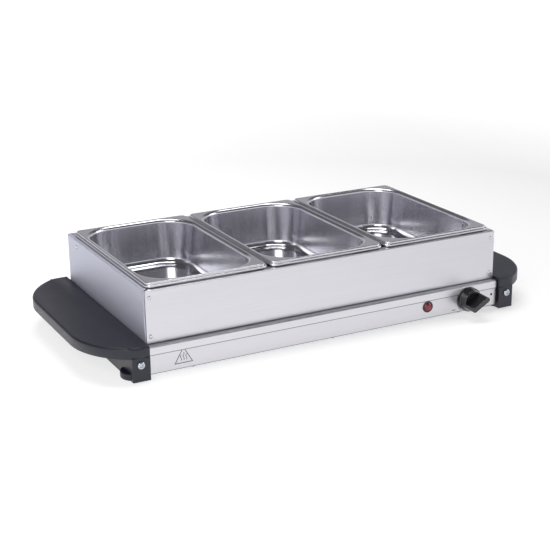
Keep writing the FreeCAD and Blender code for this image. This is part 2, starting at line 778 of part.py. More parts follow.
def make_spreader():
    half, deep = spreader_length / 2, spreader_depth / 2
    panel = block((heat_x - half, heat_x + half), (heat_y - deep, heat_y + deep),
                  (spreader_under, plate_under))
    holes = [
        rod(size.stud_radius + size.hole_gap, size.spreader_sheet + 2, x, y,
            spreader_under - 1)
        for x, y in studs_at
    ]
    node(cut(panel, *holes), "heat_spreader")


def half_turn(x, y, opens_left):
    """Return half a ring of the element, bulging to the right or to the left."""
    ring = doc.addObject("Part::Torus", "turn")
    bind(ring, Radius1=element_pitch / 2, Radius2=size.element_radius)
    ring.Angle3 = 180
    put(ring, x, y, element_axis)
    ring.Placement.Rotation = Rotation(Vector(0, 0, 1), -90 if opens_left else 90)
    return ring


def make_element():
    """Make the sheathed element: four runs, three half turns and two pins."""
    runs = []
    for line, low, high in (
        (run_lines[0], turn_left, tail_end), (run_lines[1], turn_left, turn_right),
        (run_lines[2], turn_left, turn_right), (run_lines[3], turn_left, tail_end),
    ):
        runs.append(rod(size.element_radius, high - low, low, line, element_axis, "+x"))
    turns = [
        half_turn(turn_left, heat_y - element_pitch, False),
        half_turn(turn_right, heat_y, True),
        half_turn(turn_left, heat_y + element_pitch, False),
    ]
    node(fuse(*runs, *turns), "heating_element")
    node(group(*[
        rod(size.pin_radius, size.pin_length, tail_end, line, element_axis, "+x")
        for line in (run_lines[0], run_lines[3])
    ]), "element_terminals")


def make_clamps():
    """Make the clamp strips with their welded studs and nuts."""
    reach = element_pitch * 1.5 + size.clamp_overhang
    strips = []
    for side in (-1, 0, 1):
        x = heat_x + side * clamp_spread
        strip = block((x - size.clamp_width / 2, x + size.clamp_width / 2),
                      (heat_y - reach, heat_y + reach), (clamp_under, clamp_top))
        holes = [
            rod(size.stud_radius + size.hole_gap, size.clamp_sheet + 2,
                x, heat_y + row * element_pitch, clamp_under - 1)
            for row in SIDES
        ]
        strips.append(cut(strip, *holes))
    node(group(*strips), "element_clamps")
    node(group(*[
        rod(size.stud_radius, plate_under - stud_base, x, y, stud_base)
        for x, y in studs_at
    ]), "clamp_studs")
    nuts = []
    for x, y in studs_at:
        flats = doc.addObject("Part::Prism", "flats")
        flats.Polygon = 6
        bind(flats, Circumradius=size.nut_flats / root(length(3)), Height=size.nut_height)
        put(flats, x, y, clamp_under - size.nut_height)
        thread = rod(size.stud_radius + size.hole_gap, size.nut_height + 2,
                     x, y, clamp_under - size.nut_height - 1)
        nuts.append(cut(flats, thread))
    node(group(*nuts), "clamp_nuts")


def make_insulation():
    """Make the folded shield that stands on the cover, and the mat on it."""
    half = spreader_length / 2 + size.shield_margin
    deep = spreader_depth / 2 + size.shield_margin
    deck = cover_top + size.shield_height
    fold = size.shield_sheet
    x, y = (heat_x - half, heat_x + half), (heat_y - deep, heat_y + deep)
    outside = block(x, y, (cover_top, deck))
    inside = block((x[0] + fold, x[1] - fold), (y[0] + fold, y[1] - fold),
                   (cover_top - 1, deck - fold))
    node(cut(outside, inside), "heat_shield")
    edge = size.mat_margin
    node(block((x[0] + edge, x[1] - edge), (y[0] + edge, y[1] - edge),
               (deck, stud_base - size.mat_gap)), "insulation_blanket")


# ---------------------------------------------------------------- electrical parts

def make_thermostat():
    """Make the thermostat with its boss through the fascia, and its two screws."""
    x, z = knob_x, control_z
    half = size.stat_width / 2
    case = block((x - half, x + half), (-rail_back, stat_back),
                 (z - size.stat_height / 2, z + size.stat_height / 2))
    boss = rod(size.stat_boss, size.rail_sheet + size.stat_boss_rise + 1,
               x, 1 - rail_back, z, "-y")
    bore_depth = size.spindle_depth + size.rail_sheet + size.stat_boss_rise + 1
    bore = rod(size.spindle_radius + size.spindle_gap, bore_depth,
               x, -rail_face - size.stat_boss_rise - 1, z, "+y")
    screw_bores = [
        rod(size.stat_screw + size.hole_gap, size.stat_depth / 2,
            x + side * size.stat_screw_span, -rail_back - 1, z, "+y")
        for side in SIDES
    ]
    node(cut(fuse(case, boss), bore, *screw_bores), "thermostat_body")
    node(group(*[
        screw(x + side * size.stat_screw_span, -rail_face, z, "-y",
              size.stat_screw_head, size.stat_screw_rise, size.stat_screw, size.tap_length)
        for side in SIDES
    ]), "thermostat_screws")


def make_fuse():
    """Make the thermal fuse against the plate, and the clip that holds it there."""
    x, y = fuse_x, heat_y
    axis = plate_under - size.fuse_radius
    node(rod(size.fuse_radius, size.fuse_length, x, y - size.fuse_length / 2, axis, "+y"),
         "thermal_fuse")
    hold = size.fuse_radius + size.hole_gap
    wrap = hold + size.shield_sheet
    band = (y - size.clip_width / 2, y + size.clip_width / 2)
    saddle = block((x - wrap, x + wrap), band, (axis - wrap, plate_under))
    feet = block((x - wrap - size.clip_foot, x + wrap + size.clip_foot), band,
                 (plate_under - size.shield_sheet, plate_under))
    bore = rod(hold, size.clip_width + 2, x, band[0] - 1, axis, "+y")
    slot = block((x - hold, x + hold), (band[0] - 1, band[1] + 1), (axis, plate_under + 1))
    node(cut(fuse(saddle, feet), bore, slot), "fuse_clip")


def make_lamp():
    """Make the pilot lamp: holder behind the fascia, red lens in front, bulb inside."""
    x, z = lamp_x, control_z
    back = size.lamp_depth + size.rail_sheet
    tube = rod(size.lamp_radius, back, x, -rail_face, z, "+y")
    chamber = rod(size.lamp_radius - size.lamp_wall, back - size.lamp_wall,
                  x, -rail_face, z, "+y")
    node(cut(tube, chamber), "indicator_holder")
    flange = rod(size.lens_radius, size.lens_flange, x, -rail_face, z, "-y")
    dome = domed(x, -rail_face - size.lens_flange, z, "-y", size.lens_dome, size.lens_rise,
                 size.lens_dome, size.lens_flange / 2)
    node(fuse(flange, dome), "indicator_lens")
    node(rod(size.bulb_radius, size.bulb_length, x,
             back - size.lamp_wall - rail_face, z, "-y"), "neon_bulb")


def make_inlet():
    """Make the bushing that the mains cord passes through."""
    x, z = inlet_x, control_z
    lip = rod(size.bushing_flange, size.bushing_lip, x, rail_face, z, "+y")
    sleeve = rod(size.bushing_radius, size.bushing_length, x, rail_face, z, "-y")
    bore = rod(size.inlet_radius, size.bushing_length + size.bushing_lip + 2, x,
               rail_face + size.bushing_lip + 1, z, "-y")
    node(cut(fuse(lip, sleeve), bore), "cord_inlet_bushing")


def make_terminal_block():
    """Make the terminal block on the right end panel, with its screw."""
    wall = rail_end - size.rail_sheet
    y, z = block_y, size.block_raise
    case = block((wall - size.block_depth, wall),
                 (y - size.block_length / 2, y + size.block_length / 2),
                 (z - size.block_height / 2, z + size.block_height / 2))
    bore = rod(size.tap_radius + size.hole_gap, size.block_depth + 2,
               wall - size.block_depth - 1, y, z, "+x")
    node(cut(case, bore), "terminal_block")
    node(screw(wall - size.block_depth, y, z, "-x", size.tap_head_radius, size.tap_head,
               size.tap_radius, size.block_depth + size.rail_sheet), "terminal_screw")


def make_earth():
    """Make the earth tag behind the right tab, and the rivet through the fascia."""
    z = control_z
    seat = 2 * size.rail_sheet - rail_face
    back = seat + size.tag_sheet
    half = size.tag_width / 2
    plate = block((rivet_x - half, rivet_x + half), (seat, back),
                  (z - half, z + size.tag_rise))
    barrel = block((rivet_x - size.wire_radius * 2, rivet_x + size.wire_radius * 2),
                   (back, back + size.tag_width),
                   (z + size.tag_rise - size.wire_radius * 4, z + size.tag_rise))
    hole = rod(size.rivet_radius + size.hole_gap, size.tag_sheet * 3,
               rivet_x, seat - size.tag_sheet, z, "+y")
    node(cut(fuse(plate, barrel), hole), "earth_tag")
    node(domed(rivet_x, -rail_face, z, "-y", size.rivet_head_radius, size.rivet_head,
               size.rivet_radius, back + rail_face + 1), "earth_rivet")
    return back + size.tag_width


def wire(points):
    """Return a sleeved wire along straight runs joined by tangent arcs."""
    path = [Vector(*[float(value) for value in point]) for point in points]
    edges = []
    start = path[0]
    for before, corner, after in zip(path, path[1:], path[2:]):
        inward, outward = before - corner, after - corner
        half_turn_angle = (math.pi - inward.getAngle(outward)) / 2
        shorter = min(inward.Length, outward.Length)
        trim = 0.45 * shorter
        radius = trim / math.tan(half_turn_angle)
        inward.normalize()
        outward.normalize()
        first, last = corner + inward * trim, corner + outward * trim
        bisector = inward + outward
        bisector.normalize()
        reach = radius / math.cos(half_turn_angle) - radius
        edges.append(Part.LineSegment(start, first).toShape())
        edges.append(Part.Arc(first, corner + bisector * reach, last).toShape())
        start = last
    edges.append(Part.LineSegment(start, path[-1]).toShape())
    spine = Part.Wire(edges)
    radius = float(size.wire_radius)
    ring = Part.Wire(Part.Circle(path[0], path[1] - path[0], radius).toShape())
    tube = spine.makePipeShell([ring], True, True)
    section = math.pi * radius ** 2
    if abs(tube.Volume - section * spine.Length) > 0.02 * section * spine.Length:
        raise RuntimeError("a wire's volume is not its section times its length")
    return tube


def wire_node(name, *routes):
    """Store one or more wires as a sub-part."""
    feature = doc.addObject("Part::Feature", name)
    tubes = [wire(route) for route in routes]
    feature.Shape = tubes[0] if len(tubes) == 1 else Part.makeCompound(tubes)
    feature.Placement = Placement()
    node(feature, name)


def make_wires(tag_end):
    """Run the internal wires from terminal to terminal, face to face."""
    block_face = rail_end - size.rail_sheet - size.block_depth
    block_front = block_y - size.block_length / 2
    y, z = block_y, size.block_raise
    pole = size.pole_pitch
    fuse_axis = plate_under - size.fuse_radius
    fuse_front = heat_y - size.fuse_length / 2
    fuse_rear = heat_y + size.fuse_length / 2
    pin_end = tail_end + size.pin_length
    lamp_back = size.lamp_depth + size.rail_sheet - rail_face
    wire_node("live_wire", [
        (block_face, y - pole, z), (block_face - 22, y - pole, z),
        (fuse_x, y - pole, fuse_axis), (fuse_x, fuse_rear, fuse_axis),
    ])
    wire_node("fuse_wire", [
        (fuse_x, fuse_front, fuse_axis), (fuse_x, run_lines[0] + 14, fuse_axis),
        (knob_x + 8, stat_back + 30, control_z), (knob_x + 8, stat_back, control_z),
    ])
    wire_node("switched_wire", [
        (knob_x - 8, stat_back, control_z), (knob_x - 8, stat_back + 26, control_z),
        (pin_end + 26, run_lines[0], element_axis), (pin_end, run_lines[0], element_axis),
    ])
    wire_node("neutral_wire", [
        (block_face, y + pole, z), (block_face - 20, y + pole, z),
        (pin_end + 26, run_lines[3], element_axis), (pin_end, run_lines[3], element_axis),
    ])
    lamp_line = stat_back + 4
    stat_left = knob_x - size.stat_width / 2
    wire_node(
        "lamp_wires",
        [
            (lamp_x + 3, lamp_back, control_z),
            (lamp_x + 3, lamp_line, control_z),
            (stat_left - 18, lamp_line, control_z),
            (stat_left - 12, stat_back - 8, control_z), (stat_left, stat_back - 8, control_z),
        ],
        [
            (lamp_x - 3, lamp_back, control_z - 3),
            (lamp_x - 3, lamp_line, control_z - 3),
            (block_face + 8, lamp_line, control_z - 7),
            (block_face + 8, block_front - 50, control_z - 7),
            (block_face + 8, block_front - 20, z), (block_face + 8, block_front, z),
        ],
    )
    tag_z = control_z + size.tag_rise - size.wire_radius * 2
    wire_node("earth_wire", [
        (rivet_x, tag_end, tag_z), (rivet_x, tag_end + 30, tag_z),
        (block_face - 7, y - 100, tag_z), (block_face - 16, y - 12, z + 8),
        (block_face - 16, y + 2, z + 8), (block_face, y + 2, z + 8),
    ])


# ---------------------------------------------------------------- end handles and feet

def handle_outline(sketch, inner, outer, depth, arc):
    """Draw a handle plate's D outline: straight sides joined by two shallow arcs."""
    half = depth / 2
    flat = handle_depth / 2 - size.handle_arc_rise
    hub_x = outer - arc
    rise = half - flat
    crossing = hub_x + root(arc * arc - rise * rise)
    corners = [(inner, -half), (crossing, -half), (outer, -flat), (outer, flat),
               (crossing, half), (inner, half)]
    p = [Vector(float(x), float(y), 0) for x, y in corners]
    swing = math.asin(float(rise) / float(arc))
    hubs = [Vector(float(hub_x), -float(flat), 0), Vector(float(hub_x), float(flat), 0)]
    up = Vector(0, 0, 1)
    sketch.addGeometry(Part.LineSegment(p[0], p[1]))
    sketch.addGeometry(Part.ArcOfCircle(Part.Circle(hubs[0], up, float(arc)), -swing, 0))
    sketch.addGeometry(Part.LineSegment(p[2], p[3]))
    sketch.addGeometry(Part.ArcOfCircle(Part.Circle(hubs[1], up, float(arc)), 0, swing))
    sketch.addGeometry(Part.LineSegment(p[4], p[5]))
    sketch.addGeometry(Part.LineSegment(p[5], p[0]))
    for edge in range(5):
        sketch.addConstraint(Sketcher.Constraint("Coincident", edge, 2, edge + 1, 1))
    sketch.addConstraint(Sketcher.Constraint("Coincident", 5, 2, 0, 1))
    for index, edge in enumerate((0, 2, 2, 4)):
        end = 2 if index in (0, 2) else 1
        x, y = corners[index + 1]
        anchor(sketch, edge, end, x, y)
    anchor(sketch, 5, 2, inner, -half)
    anchor(sketch, 5, 1, inner, half)
    for edge in (1, 3):
        fix(sketch, "Radius", arc, edge)


def make_handle():
    """Make the right handle: a hollow plate on a hollow beam with two foot cups."""
    body = new_body("right_handle")
    base, wall = size.beam_base, size.handle_wall
    under = handle_top - size.handle_edge
    half = handle_depth / 2
    beam_outer = handle_inner + size.beam_width
    cup_x = handle_inner + size.cup_offset

    plate = sketch_on(body, "XY_Plane", under)
    handle_outline(plate, handle_inner, handle_outer, handle_depth,
                   size.handle_arc)
    pad(body, plate, size.handle_edge)
    inner_edge = float(handle_inner)
    round_edges(body, size.handle_corner,
                lambda edge: upright(edge) and edge.BoundBox.XMin > inner_edge + 1
                and edge.BoundBox.YLength < 0.01
                and abs(abs(edge.BoundBox.YMin) - float(half)) < 0.1)
    round_edges(body, size.handle_round,
                lambda edge: flat_at(edge, "Z", handle_top)
                and not flat_at(edge, "X", handle_inner))

    recess = sketch_on(body, "XY_Plane", under)
    handle_outline(recess, beam_outer, handle_outer - wall,
                   handle_depth - wall * 2, size.handle_arc - wall)
    pocket(body, recess, size.handle_edge - wall, reverse=True)

    beam = sketch_on(body, "XY_Plane", base)
    rectangle(beam, (handle_inner, beam_outer), (-half, half))
    pad(body, beam, under - base + wall)
    round_edges(body, size.beam_round,
                lambda edge: upright(edge) and near(edge.BoundBox.XMin, beam_outer)
                and edge.BoundBox.ZMin < float(base) + 0.1)
    channel = sketch_on(body, "YZ_Plane", handle_inner)
    rectangle(channel, (wall - half, half - wall), (base + wall, handle_top - wall))
    pocket(body, channel, size.beam_width - wall, reverse=True)

    for side in SIDES:
        cup = sketch_on(body, "XY_Plane", base)
        circle(cup, cup_x, side * cup_y, size.cup_radius)
        pad(body, cup, size.cup_height)
    round_edges(body, size.cup_round,
                lambda edge: flat_at(edge, "Z", base)
                and edge.BoundBox.YLength > float(size.cup_radius)
                and edge.BoundBox.YLength < float(half)
                and not flat_at(edge, "X", handle_inner)
                and not flat_at(edge, "X", beam_outer))
    clear_low = cover_top - size.cover_sheet - size.rest_gap
    trim = sketch_on(body, "XY_Plane", clear_low)
    rectangle(trim, (handle_inner - size.cup_radius, handle_inner),
              (-half, half))
    pocket(body, trim, size.cup_height + 1, reverse=True)
    for side in SIDES:
        seat = sketch_on(body, "XY_Plane", base)
        circle(seat, cup_x, side * cup_y, size.foot_radius + size.foot_gap)
        pocket(body, seat, size.foot_sink, reverse=True)
        hole = sketch_on(body, "XY_Plane", base)
        circle(hole, cup_x, side * cup_y, size.tap_radius + size.hole_gap)
        pocket(body, hole, size.cup_height + 1, reverse=True)
    bolts = sketch_on(body, "XZ_Plane", half + 1)
    circle(bolts, bolt_x, size.bolt_height, size.bolt_radius + size.hole_gap)
    pocket(body, bolts, handle_depth + 2)
    node(body, "right_handle")
    node(mirror(body, Vector(1, 0, 0)), "left_handle")


def make_brackets():
    """Make the steel strap inside each handle, its ears behind the end walls."""
    inner, outer = rail_end, rail_end + size.strap_sheet
    ear = handle_depth / 2 - size.handle_wall
    low, high = size.strap_base, size.strap_base + size.strap_height
    strap = block((inner, outer), (-ear, ear), (low, high))
    ears = [
        block((inner, outer + size.strap_reach), span, (low, high))
        for span in ((-ear, size.strap_sheet - ear), (ear - size.strap_sheet, ear))
    ]
    hole = rod(size.bolt_radius + size.hole_gap, handle_depth,
               bolt_x, -handle_depth / 2, size.bolt_height, "+y")
    bracket = cut(fuse(strap, *ears), hole)
    node(bracket, "right_handle_bracket")
    node(mirror(bracket, Vector(1, 0, 0)), "left_handle_bracket")


def cross_screw(x, y, turn):
    """Return a handle screw with a cross recess in its domed head."""
    z = size.bolt_height
    head = domed(x, y, z, turn, size.bolt_head_radius, size.bolt_head,
                 size.bolt_radius, size.bolt_length)
    sign = -1 if turn == "-y" else 1
    top = y + sign * size.bolt_head
    floor = top - sign * size.cross_depth
    span, arm = size.cross_span / 2, size.cross_width / 2
    ends = (floor, top + 1) if sign > 0 else (top - 1, floor)
    return cut(head, block((x - span, x + span), ends, (z - arm, z + arm)),
               block((x - arm, x + arm), ends, (z - span, z + span)))


def make_handle_screws():
    half = handle_depth / 2
    node(group(*[
        cross_screw(side * bolt_x, end * half, "+y" if end > 0 else "-y")
        for side in SIDES for end in SIDES
    ]), "handle_screws")


def make_feet():
    """Make the four rubber feet and the screws that hold them in their cups."""
    seat = size.beam_base + size.foot_sink
    screws = []
    for side, side_name in ((-1, "left"), (1, "right")):
        for end, end_name in ((-1, "front"), (1, "rear")):
            x = side * (handle_inner + size.cup_offset)
            y = end * cup_y
            body = new_body("foot")
            disc = sketch_on(body, "XY_Plane")
            circle(disc, x, y, size.foot_radius)
            pad(body, disc, seat)
            body_tip = round_edges(body, size.foot_bevel,
                                   lambda edge: flat_at(edge, "Z", length(0)))
            body.Tip = body_tip
            for radius, reach in (
                (size.foot_counterbore, size.foot_counterbore_depth),
                (size.tap_radius + size.hole_gap, seat + 1),
            ):
                hole = sketch_on(body, "XY_Plane")
                circle(hole, x, y, radius)
                pocket(body, hole, reach, reverse=True)
            node(body, f"foot_{end_name}_{side_name}")
            screws.append(screw(
                x, y, size.foot_counterbore_depth, "-z", size.tap_head_radius,
                size.tap_head, size.tap_radius,
                size.tap_length + seat - size.foot_counterbore_depth))
    node(group(*screws), "foot_screws")


# ---------------------------------------------------------------- knob

def make_knob():
    """Make the knob about its own +Z, with the grip along its own X, then face it front."""
    body = new_body("control_knob")
    back = size.knob_gap
    face = back + size.knob_face
    skirt = sketch_on(body, "XY_Plane", back)
    circle(skirt, 0, 0, size.knob_radius)
    pad(body, skirt, size.knob_skirt)
    flare = size.knob_radius - size.knob_face_radius
    rise = size.knob_face - size.knob_skirt
    taper = Length(-math.degrees(math.atan(float(flare) / float(rise))),
                   f"(-1 * atan({(flare / rise).text}))")
    cone = sketch_on(body, "XY_Plane", back + size.knob_skirt)
    circle(cone, 0, 0, size.knob_radius)
    pad(body, cone, rise, draft=taper)
    round_edges(body, size.knob_round,
                lambda edge: flat_at(edge, "Z", face) and edge.BoundBox.XLength > 5)
    grip = sketch_on(body, "XY_Plane", back + size.knob_skirt)
    rectangle(grip, (-size.knob_radius, size.knob_radius), (-size.grip_half, size.grip_half))
    pad(body, grip, size.knob_depth - size.knob_skirt)
    ends = sketch_on(body, "XY_Plane", back + size.knob_depth)
    circle(ends, 0, 0, size.knob_radius * 2)
    circle(ends, 0, 0, size.grip_radius)
    pocket(body, ends, size.knob_depth - size.knob_face + size.knob_round)
    round_edges(body, size.knob_round,
                lambda edge: flat_at(edge, "Z", back + size.knob_depth))
    moat = sketch_on(body, "XY_Plane", back)
    circle(moat, 0, 0,
           size.knob_face_radius - size.knob_wall)
    circle(moat, 0, 0, size.hub_radius)
    pocket(body, moat, size.knob_face - size.knob_wall, reverse=True)
    bore = sketch_on(body, "XY_Plane", back)
    circle(bore, 0, 0, size.spindle_radius)
    pocket(body, bore, size.spindle_length - back, reverse=True)
    put(body, knob_x, -rail_face, control_z, "-y")
    tilt = Rotation(Vector(0, 0, 1), float(size.grip_angle))
    body.Placement.Rotation = TURNS["-y"].multiply(tilt)
    node(body, "control_knob")


def make_spindle():
    """Make the flatted spindle and the clip on its flat, about their own +Z."""
    tail = size.rail_sheet + size.spindle_depth - size.rest_gap
    shaft = rod(size.spindle_radius, size.spindle_length + tail, 0, 0, -tail)
    flat = size.spindle_radius - size.spindle_flat
    flat_start = size.spindle_length - size.flat_length
    flat_cut = block((-size.spindle_radius, size.spindle_radius),
                     (flat, size.spindle_radius + 1),
                     (flat_start, size.spindle_length + 1))
    leaf_half = size.spindle_radius / 2
    leaf = block((-leaf_half, leaf_half), (flat, flat + size.clip_sheet),
                 (flat_start + 1, size.spindle_length - 1))
    for thing, name in ((cut(shaft, flat_cut), "thermostat_spindle"),
                        (group(leaf), "knob_clip")):
        put(thing, knob_x, -rail_face, control_z, "-y")
        node(thing, name)


# ---------------------------------------------------------------- pan rack

rack_half = rack_length / 2
rack_half_depth = rack_depth / 2
rack_base = size.plate_top + size.rest_gap
rack_top = rack_base + rack_height
rack_back = rack_half_depth - size.rack_sheet


def make_long_panel(side, name):
    """Make the rack's front or rear panel: a wall with an upper flange and a lower hem."""
    body = new_body(name)
    wall = size.rack_sheet
    face, back = side * rack_half_depth, side * rack_back
    flange = side * (rack_half_depth - size.rack_flange)
    hem = side * (rack_half_depth - size.rack_hem)
    section = sketch_on(body, "YZ_Plane")
    polygon(section, [
        (face, rack_base), (hem, rack_base), (hem, rack_base + wall),
        (back, rack_base + wall), (back, rack_top - wall), (flange, rack_top - wall),
        (flange, rack_top), (face, rack_top),
    ])
    half = rack_half - size.rack_seam
    pad(body, section, half * 2, middle=True)
    round_edges(
        body, size.rack_bend,
        lambda edge: flat_at(edge, "Y", face)
        and (flat_at(edge, "Z", rack_base) or flat_at(edge, "Z", rack_top)),
    )
    low, high = rack_base - 1, rack_base + size.rack_lap
    for end in SIDES:
        mitre = sketch_on(body, "XY_Plane", rack_top + 1)
        polygon(mitre, [
            (end * half, side * (rack_half_depth - size.rack_bend)),
            (end * (half - size.rack_flange), flange - side * size.rack_bend),
            (end * (half + 1), flange - side * size.rack_bend),
            (end * (half + 1), side * (rack_half_depth - size.rack_bend)),
        ])
        pocket(body, mitre, size.rack_sheet + 1)
        relief = sketch_on(body, "XY_Plane", low)
        rectangle(relief, sorted_span(end * (half - size.rack_lap), end * (half + 1)),
                  sorted_span(hem - side, back))
        pocket(body, relief, high - low, reverse=True)
    holes = sketch_on(body, "XZ_Plane", -side * (rack_back - 1))
    for end in SIDES:
        for height in rivet_heights:
            circle(holes, end * (rack_half - size.rack_rivet_inset), rack_base + height,
                   size.rivet_radius + size.hole_gap)
    pocket(body, holes, wall + 2, reverse=side < 0)
    node(body, name)


def make_rack_ends():
    """Make the rack's right end panel with its laps and flange; mirror it for the left."""
    body = new_body("rack_right_panel")
    wall = size.rack_sheet
    outline = sketch_on(body, "XY_Plane", rack_base)
    inner = rack_half - wall
    lap = rack_half - size.rack_lap
    lap_back = rack_back - wall
    polygon(outline, [
        (rack_half, -rack_back), (rack_half, rack_back), (lap, rack_back),
        (lap, lap_back), (inner, lap_back), (inner, -lap_back), (lap, -lap_back),
        (lap, -rack_back),
    ])
    pad(body, outline, rack_height)
    round_edges(body, size.rack_bend,
                lambda edge: upright(edge) and near(edge.BoundBox.XMin, rack_half))
    flange_in = rack_half - size.rack_flange
    notch = sketch_on(body, "XY_Plane", rack_top)
    for end in SIDES:
        rectangle(notch, (lap - 1, inner),
                  sorted_span(end * (lap_back - 1), end * (rack_back + 1)))
    pocket(body, notch, size.rack_sheet * 2)
    flange = sketch_on(body, "XY_Plane", rack_top)
    reach = rack_back - size.rack_flange
    flange_out, flange_end = rack_half - size.rack_bend, rack_back - size.rack_bend
    polygon(flange, [
        (flange_out, -flange_end), (rack_half - wall / 2, -lap_back),
        (rack_half - wall / 2, lap_back), (flange_out, flange_end),
        (flange_in, reach), (flange_in, -reach),
    ])
    pad(body, flange, wall, reverse=True)
    round_edges(body, wall * 0.6,
                lambda edge: flat_at(edge, "Z", rack_top)
                and flat_at(edge, "X", rack_half))
    holes = sketch_on(body, "XZ_Plane", rack_half_depth)
    for height in rivet_heights:
        circle(holes, rack_half - size.rack_rivet_inset, rack_base + height,
               size.rivet_radius + size.hole_gap)
    pocket(body, holes, rack_depth)
    side_hole = sketch_on(body, "YZ_Plane", rack_half + 1)
    circle(side_hole, rack_back - size.gusset_rivet, rack_base + rivet_heights[1],
           size.rivet_radius + size.hole_gap)
    pocket(body, side_hole, wall + 2)
    node(body, "rack_right_panel")
    node(mirror(body, Vector(1, 0, 0)), "rack_left_panel")


def make_cross_bars():
    """Make the two channel strips that span the rack between the pans."""
    top = rack_top - size.rack_sheet
    reach = rack_back - size.bar_end_gap
    wall = size.bar_sheet
    for side, name in ((-1, "rack_cross_bar_left"), (1, "rack_cross_bar_right")):
        x = side * pan_pitch / 2
        half = size.bar_width / 2
        outside = block((x - half, x + half), (-reach, reach),
                        (top - size.bar_leg, top))
        inside = block((x - half + wall, x + half - wall), (-reach - 1, reach + 1),
                       (top - size.bar_leg - 1, top - wall))
        node(cut(outside, inside), name)


def make_rack_rivets():
    """Make the corner rivets, the side rivets and the rear gussets."""
    rivet_x_place = rack_half - size.rack_rivet_inset
    grip = size.rack_sheet * 2 + 1
    node(group(*[
        domed(side * rivet_x_place, end * rack_half_depth, rack_base + height,
              "+y" if end > 0 else "-y", size.rivet_head_radius, size.rivet_head,
              size.rivet_radius, grip)
        for side in SIDES for end in SIDES
        for height in rivet_heights
    ]), "rack_rivets")
    y, z = rack_back - size.gusset_rivet, rack_base + rivet_heights[1]
    node(group(*[
        domed(side * rack_half, y, z, "+x" if side > 0 else "-x",
              size.rivet_head_radius, size.rivet_head, size.rivet_radius,
              size.rack_sheet + size.gusset_sheet + 1)
        for side in SIDES
    ]), "rack_side_rivets")
    inner = rack_half - size.rack_sheet
    lap_back = rack_back - size.rack_sheet
    span = (z - size.gusset_height / 2, rack_top - size.rack_sheet)
    along = block((inner - size.gusset_sheet, inner),
                  (lap_back - size.gusset_leg, lap_back), span)
    across = block((inner - size.gusset_return, inner),
                   (lap_back - size.gusset_sheet, lap_back), span)
    hole = rod(size.rivet_radius + size.hole_gap, size.gusset_sheet * 3,
               inner - size.gusset_sheet * 2, y, z, "+x")
    tail_hole = rod(size.rivet_radius + size.hole_gap, size.gusset_sheet * 3,
                    rivet_x_place, lap_back - size.gusset_sheet * 2, z, "+y")
    gusset = cut(fuse(along, across), hole, tail_hole)
    node(gusset, "rack_gusset_right")
    node(mirror(gusset, Vector(1, 0, 0)), "rack_gusset_left")


# ---------------------------------------------------------------- food pans

def rim_edges(middle, width, reach, level):
    """Return a test for the level edges that lie on a rectangle about the middle."""
    x, y = (float(value) for value in middle)

    def wanted(edge):
        box = edge.BoundBox
        out_x = max(abs(box.XMin - x), abs(box.XMax - x))
        out_y = max(abs(box.YMin - y), abs(box.YMax - y))
        on_outline = near(out_x, width / 2) or near(out_y, reach / 2)
        return flat_at(edge, "Z", level) and on_outline
    return wanted


def make_pan(column, name):
    """Make one drawn pan: a tapered bowl under a flange with a stepped rim."""
    body = new_body(name)
    wall = size.pan_sheet
    x, y = column * pan_pitch, pan_y
    top = rack_top + size.rest_gap + size.pan_rim
    opening_width = size.pan_width - size.pan_flange_side * 2
    opening_length = size.pan_length - size.pan_flange_side * 2
    flange_width = size.pan_width - size.pan_step * 2
    flange_length = size.pan_length - size.pan_step * 2
    flange_corner = size.pan_corner - size.pan_step

    mouth = sketch_on(body, "XY_Plane", top)
    rounded_rectangle(mouth, (x, y), opening_width + wall * 2, opening_length + wall * 2,
                      size.pan_opening_corner + wall)
    pad(body, mouth, size.pan_depth, reverse=True, draft=-size.pan_draft)
    floor = top - size.pan_depth
    bowl = sketch_on(body, "XY_Plane", top)
    rounded_rectangle(bowl, (x, y), opening_width, opening_length, size.pan_opening_corner)
    pocket(body, bowl, size.pan_depth - wall, draft=-size.pan_draft)
    round_edges(body, size.pan_floor_round - wall,
                lambda edge: flat_at(edge, "Z", floor + wall))
    round_edges(body, size.pan_floor_round, lambda edge: flat_at(edge, "Z", floor))

    flange = sketch_on(body, "XY_Plane", top)
    rounded_rectangle(flange, (x, y), flange_width, flange_length, flange_corner)
    rounded_rectangle(flange, (x, y), opening_width + wall, opening_length + wall,
                      size.pan_opening_corner + wall / 2)
    pad(body, flange, wall, reverse=True)
    collar = sketch_on(body, "XY_Plane", top)
    rounded_rectangle(collar, (x, y), flange_width, flange_length, flange_corner)
    rounded_rectangle(collar, (x, y), flange_width - wall * 2, flange_length - wall * 2,
                      flange_corner - wall)
    pad(body, collar, size.pan_step_drop + wall, reverse=True)
    step = sketch_on(body, "XY_Plane", top - size.pan_step_drop)
    rounded_rectangle(step, (x, y), size.pan_width, size.pan_length, size.pan_corner)
    rounded_rectangle(step, (x, y), flange_width - wall * 2, flange_length - wall * 2,
                      flange_corner - wall)
    pad(body, step, wall, reverse=True)
    lip = sketch_on(body, "XY_Plane", top - size.pan_step_drop)
    rounded_rectangle(lip, (x, y), size.pan_width, size.pan_length, size.pan_corner)
    rounded_rectangle(lip, (x, y), size.pan_width - wall * 2, size.pan_length - wall * 2,
                      size.pan_corner - wall)
    pad(body, lip, size.pan_rim - size.pan_step_drop, reverse=True)
    round_edges(body, size.pan_bend, rim_edges((x, y), flange_width, flange_length, top))
    round_edges(body, size.pan_bend,
                rim_edges((x, y), size.pan_width, size.pan_length, top - size.pan_step_drop))
    node(body, name)


# ---------------------------------------------------------------- build and write

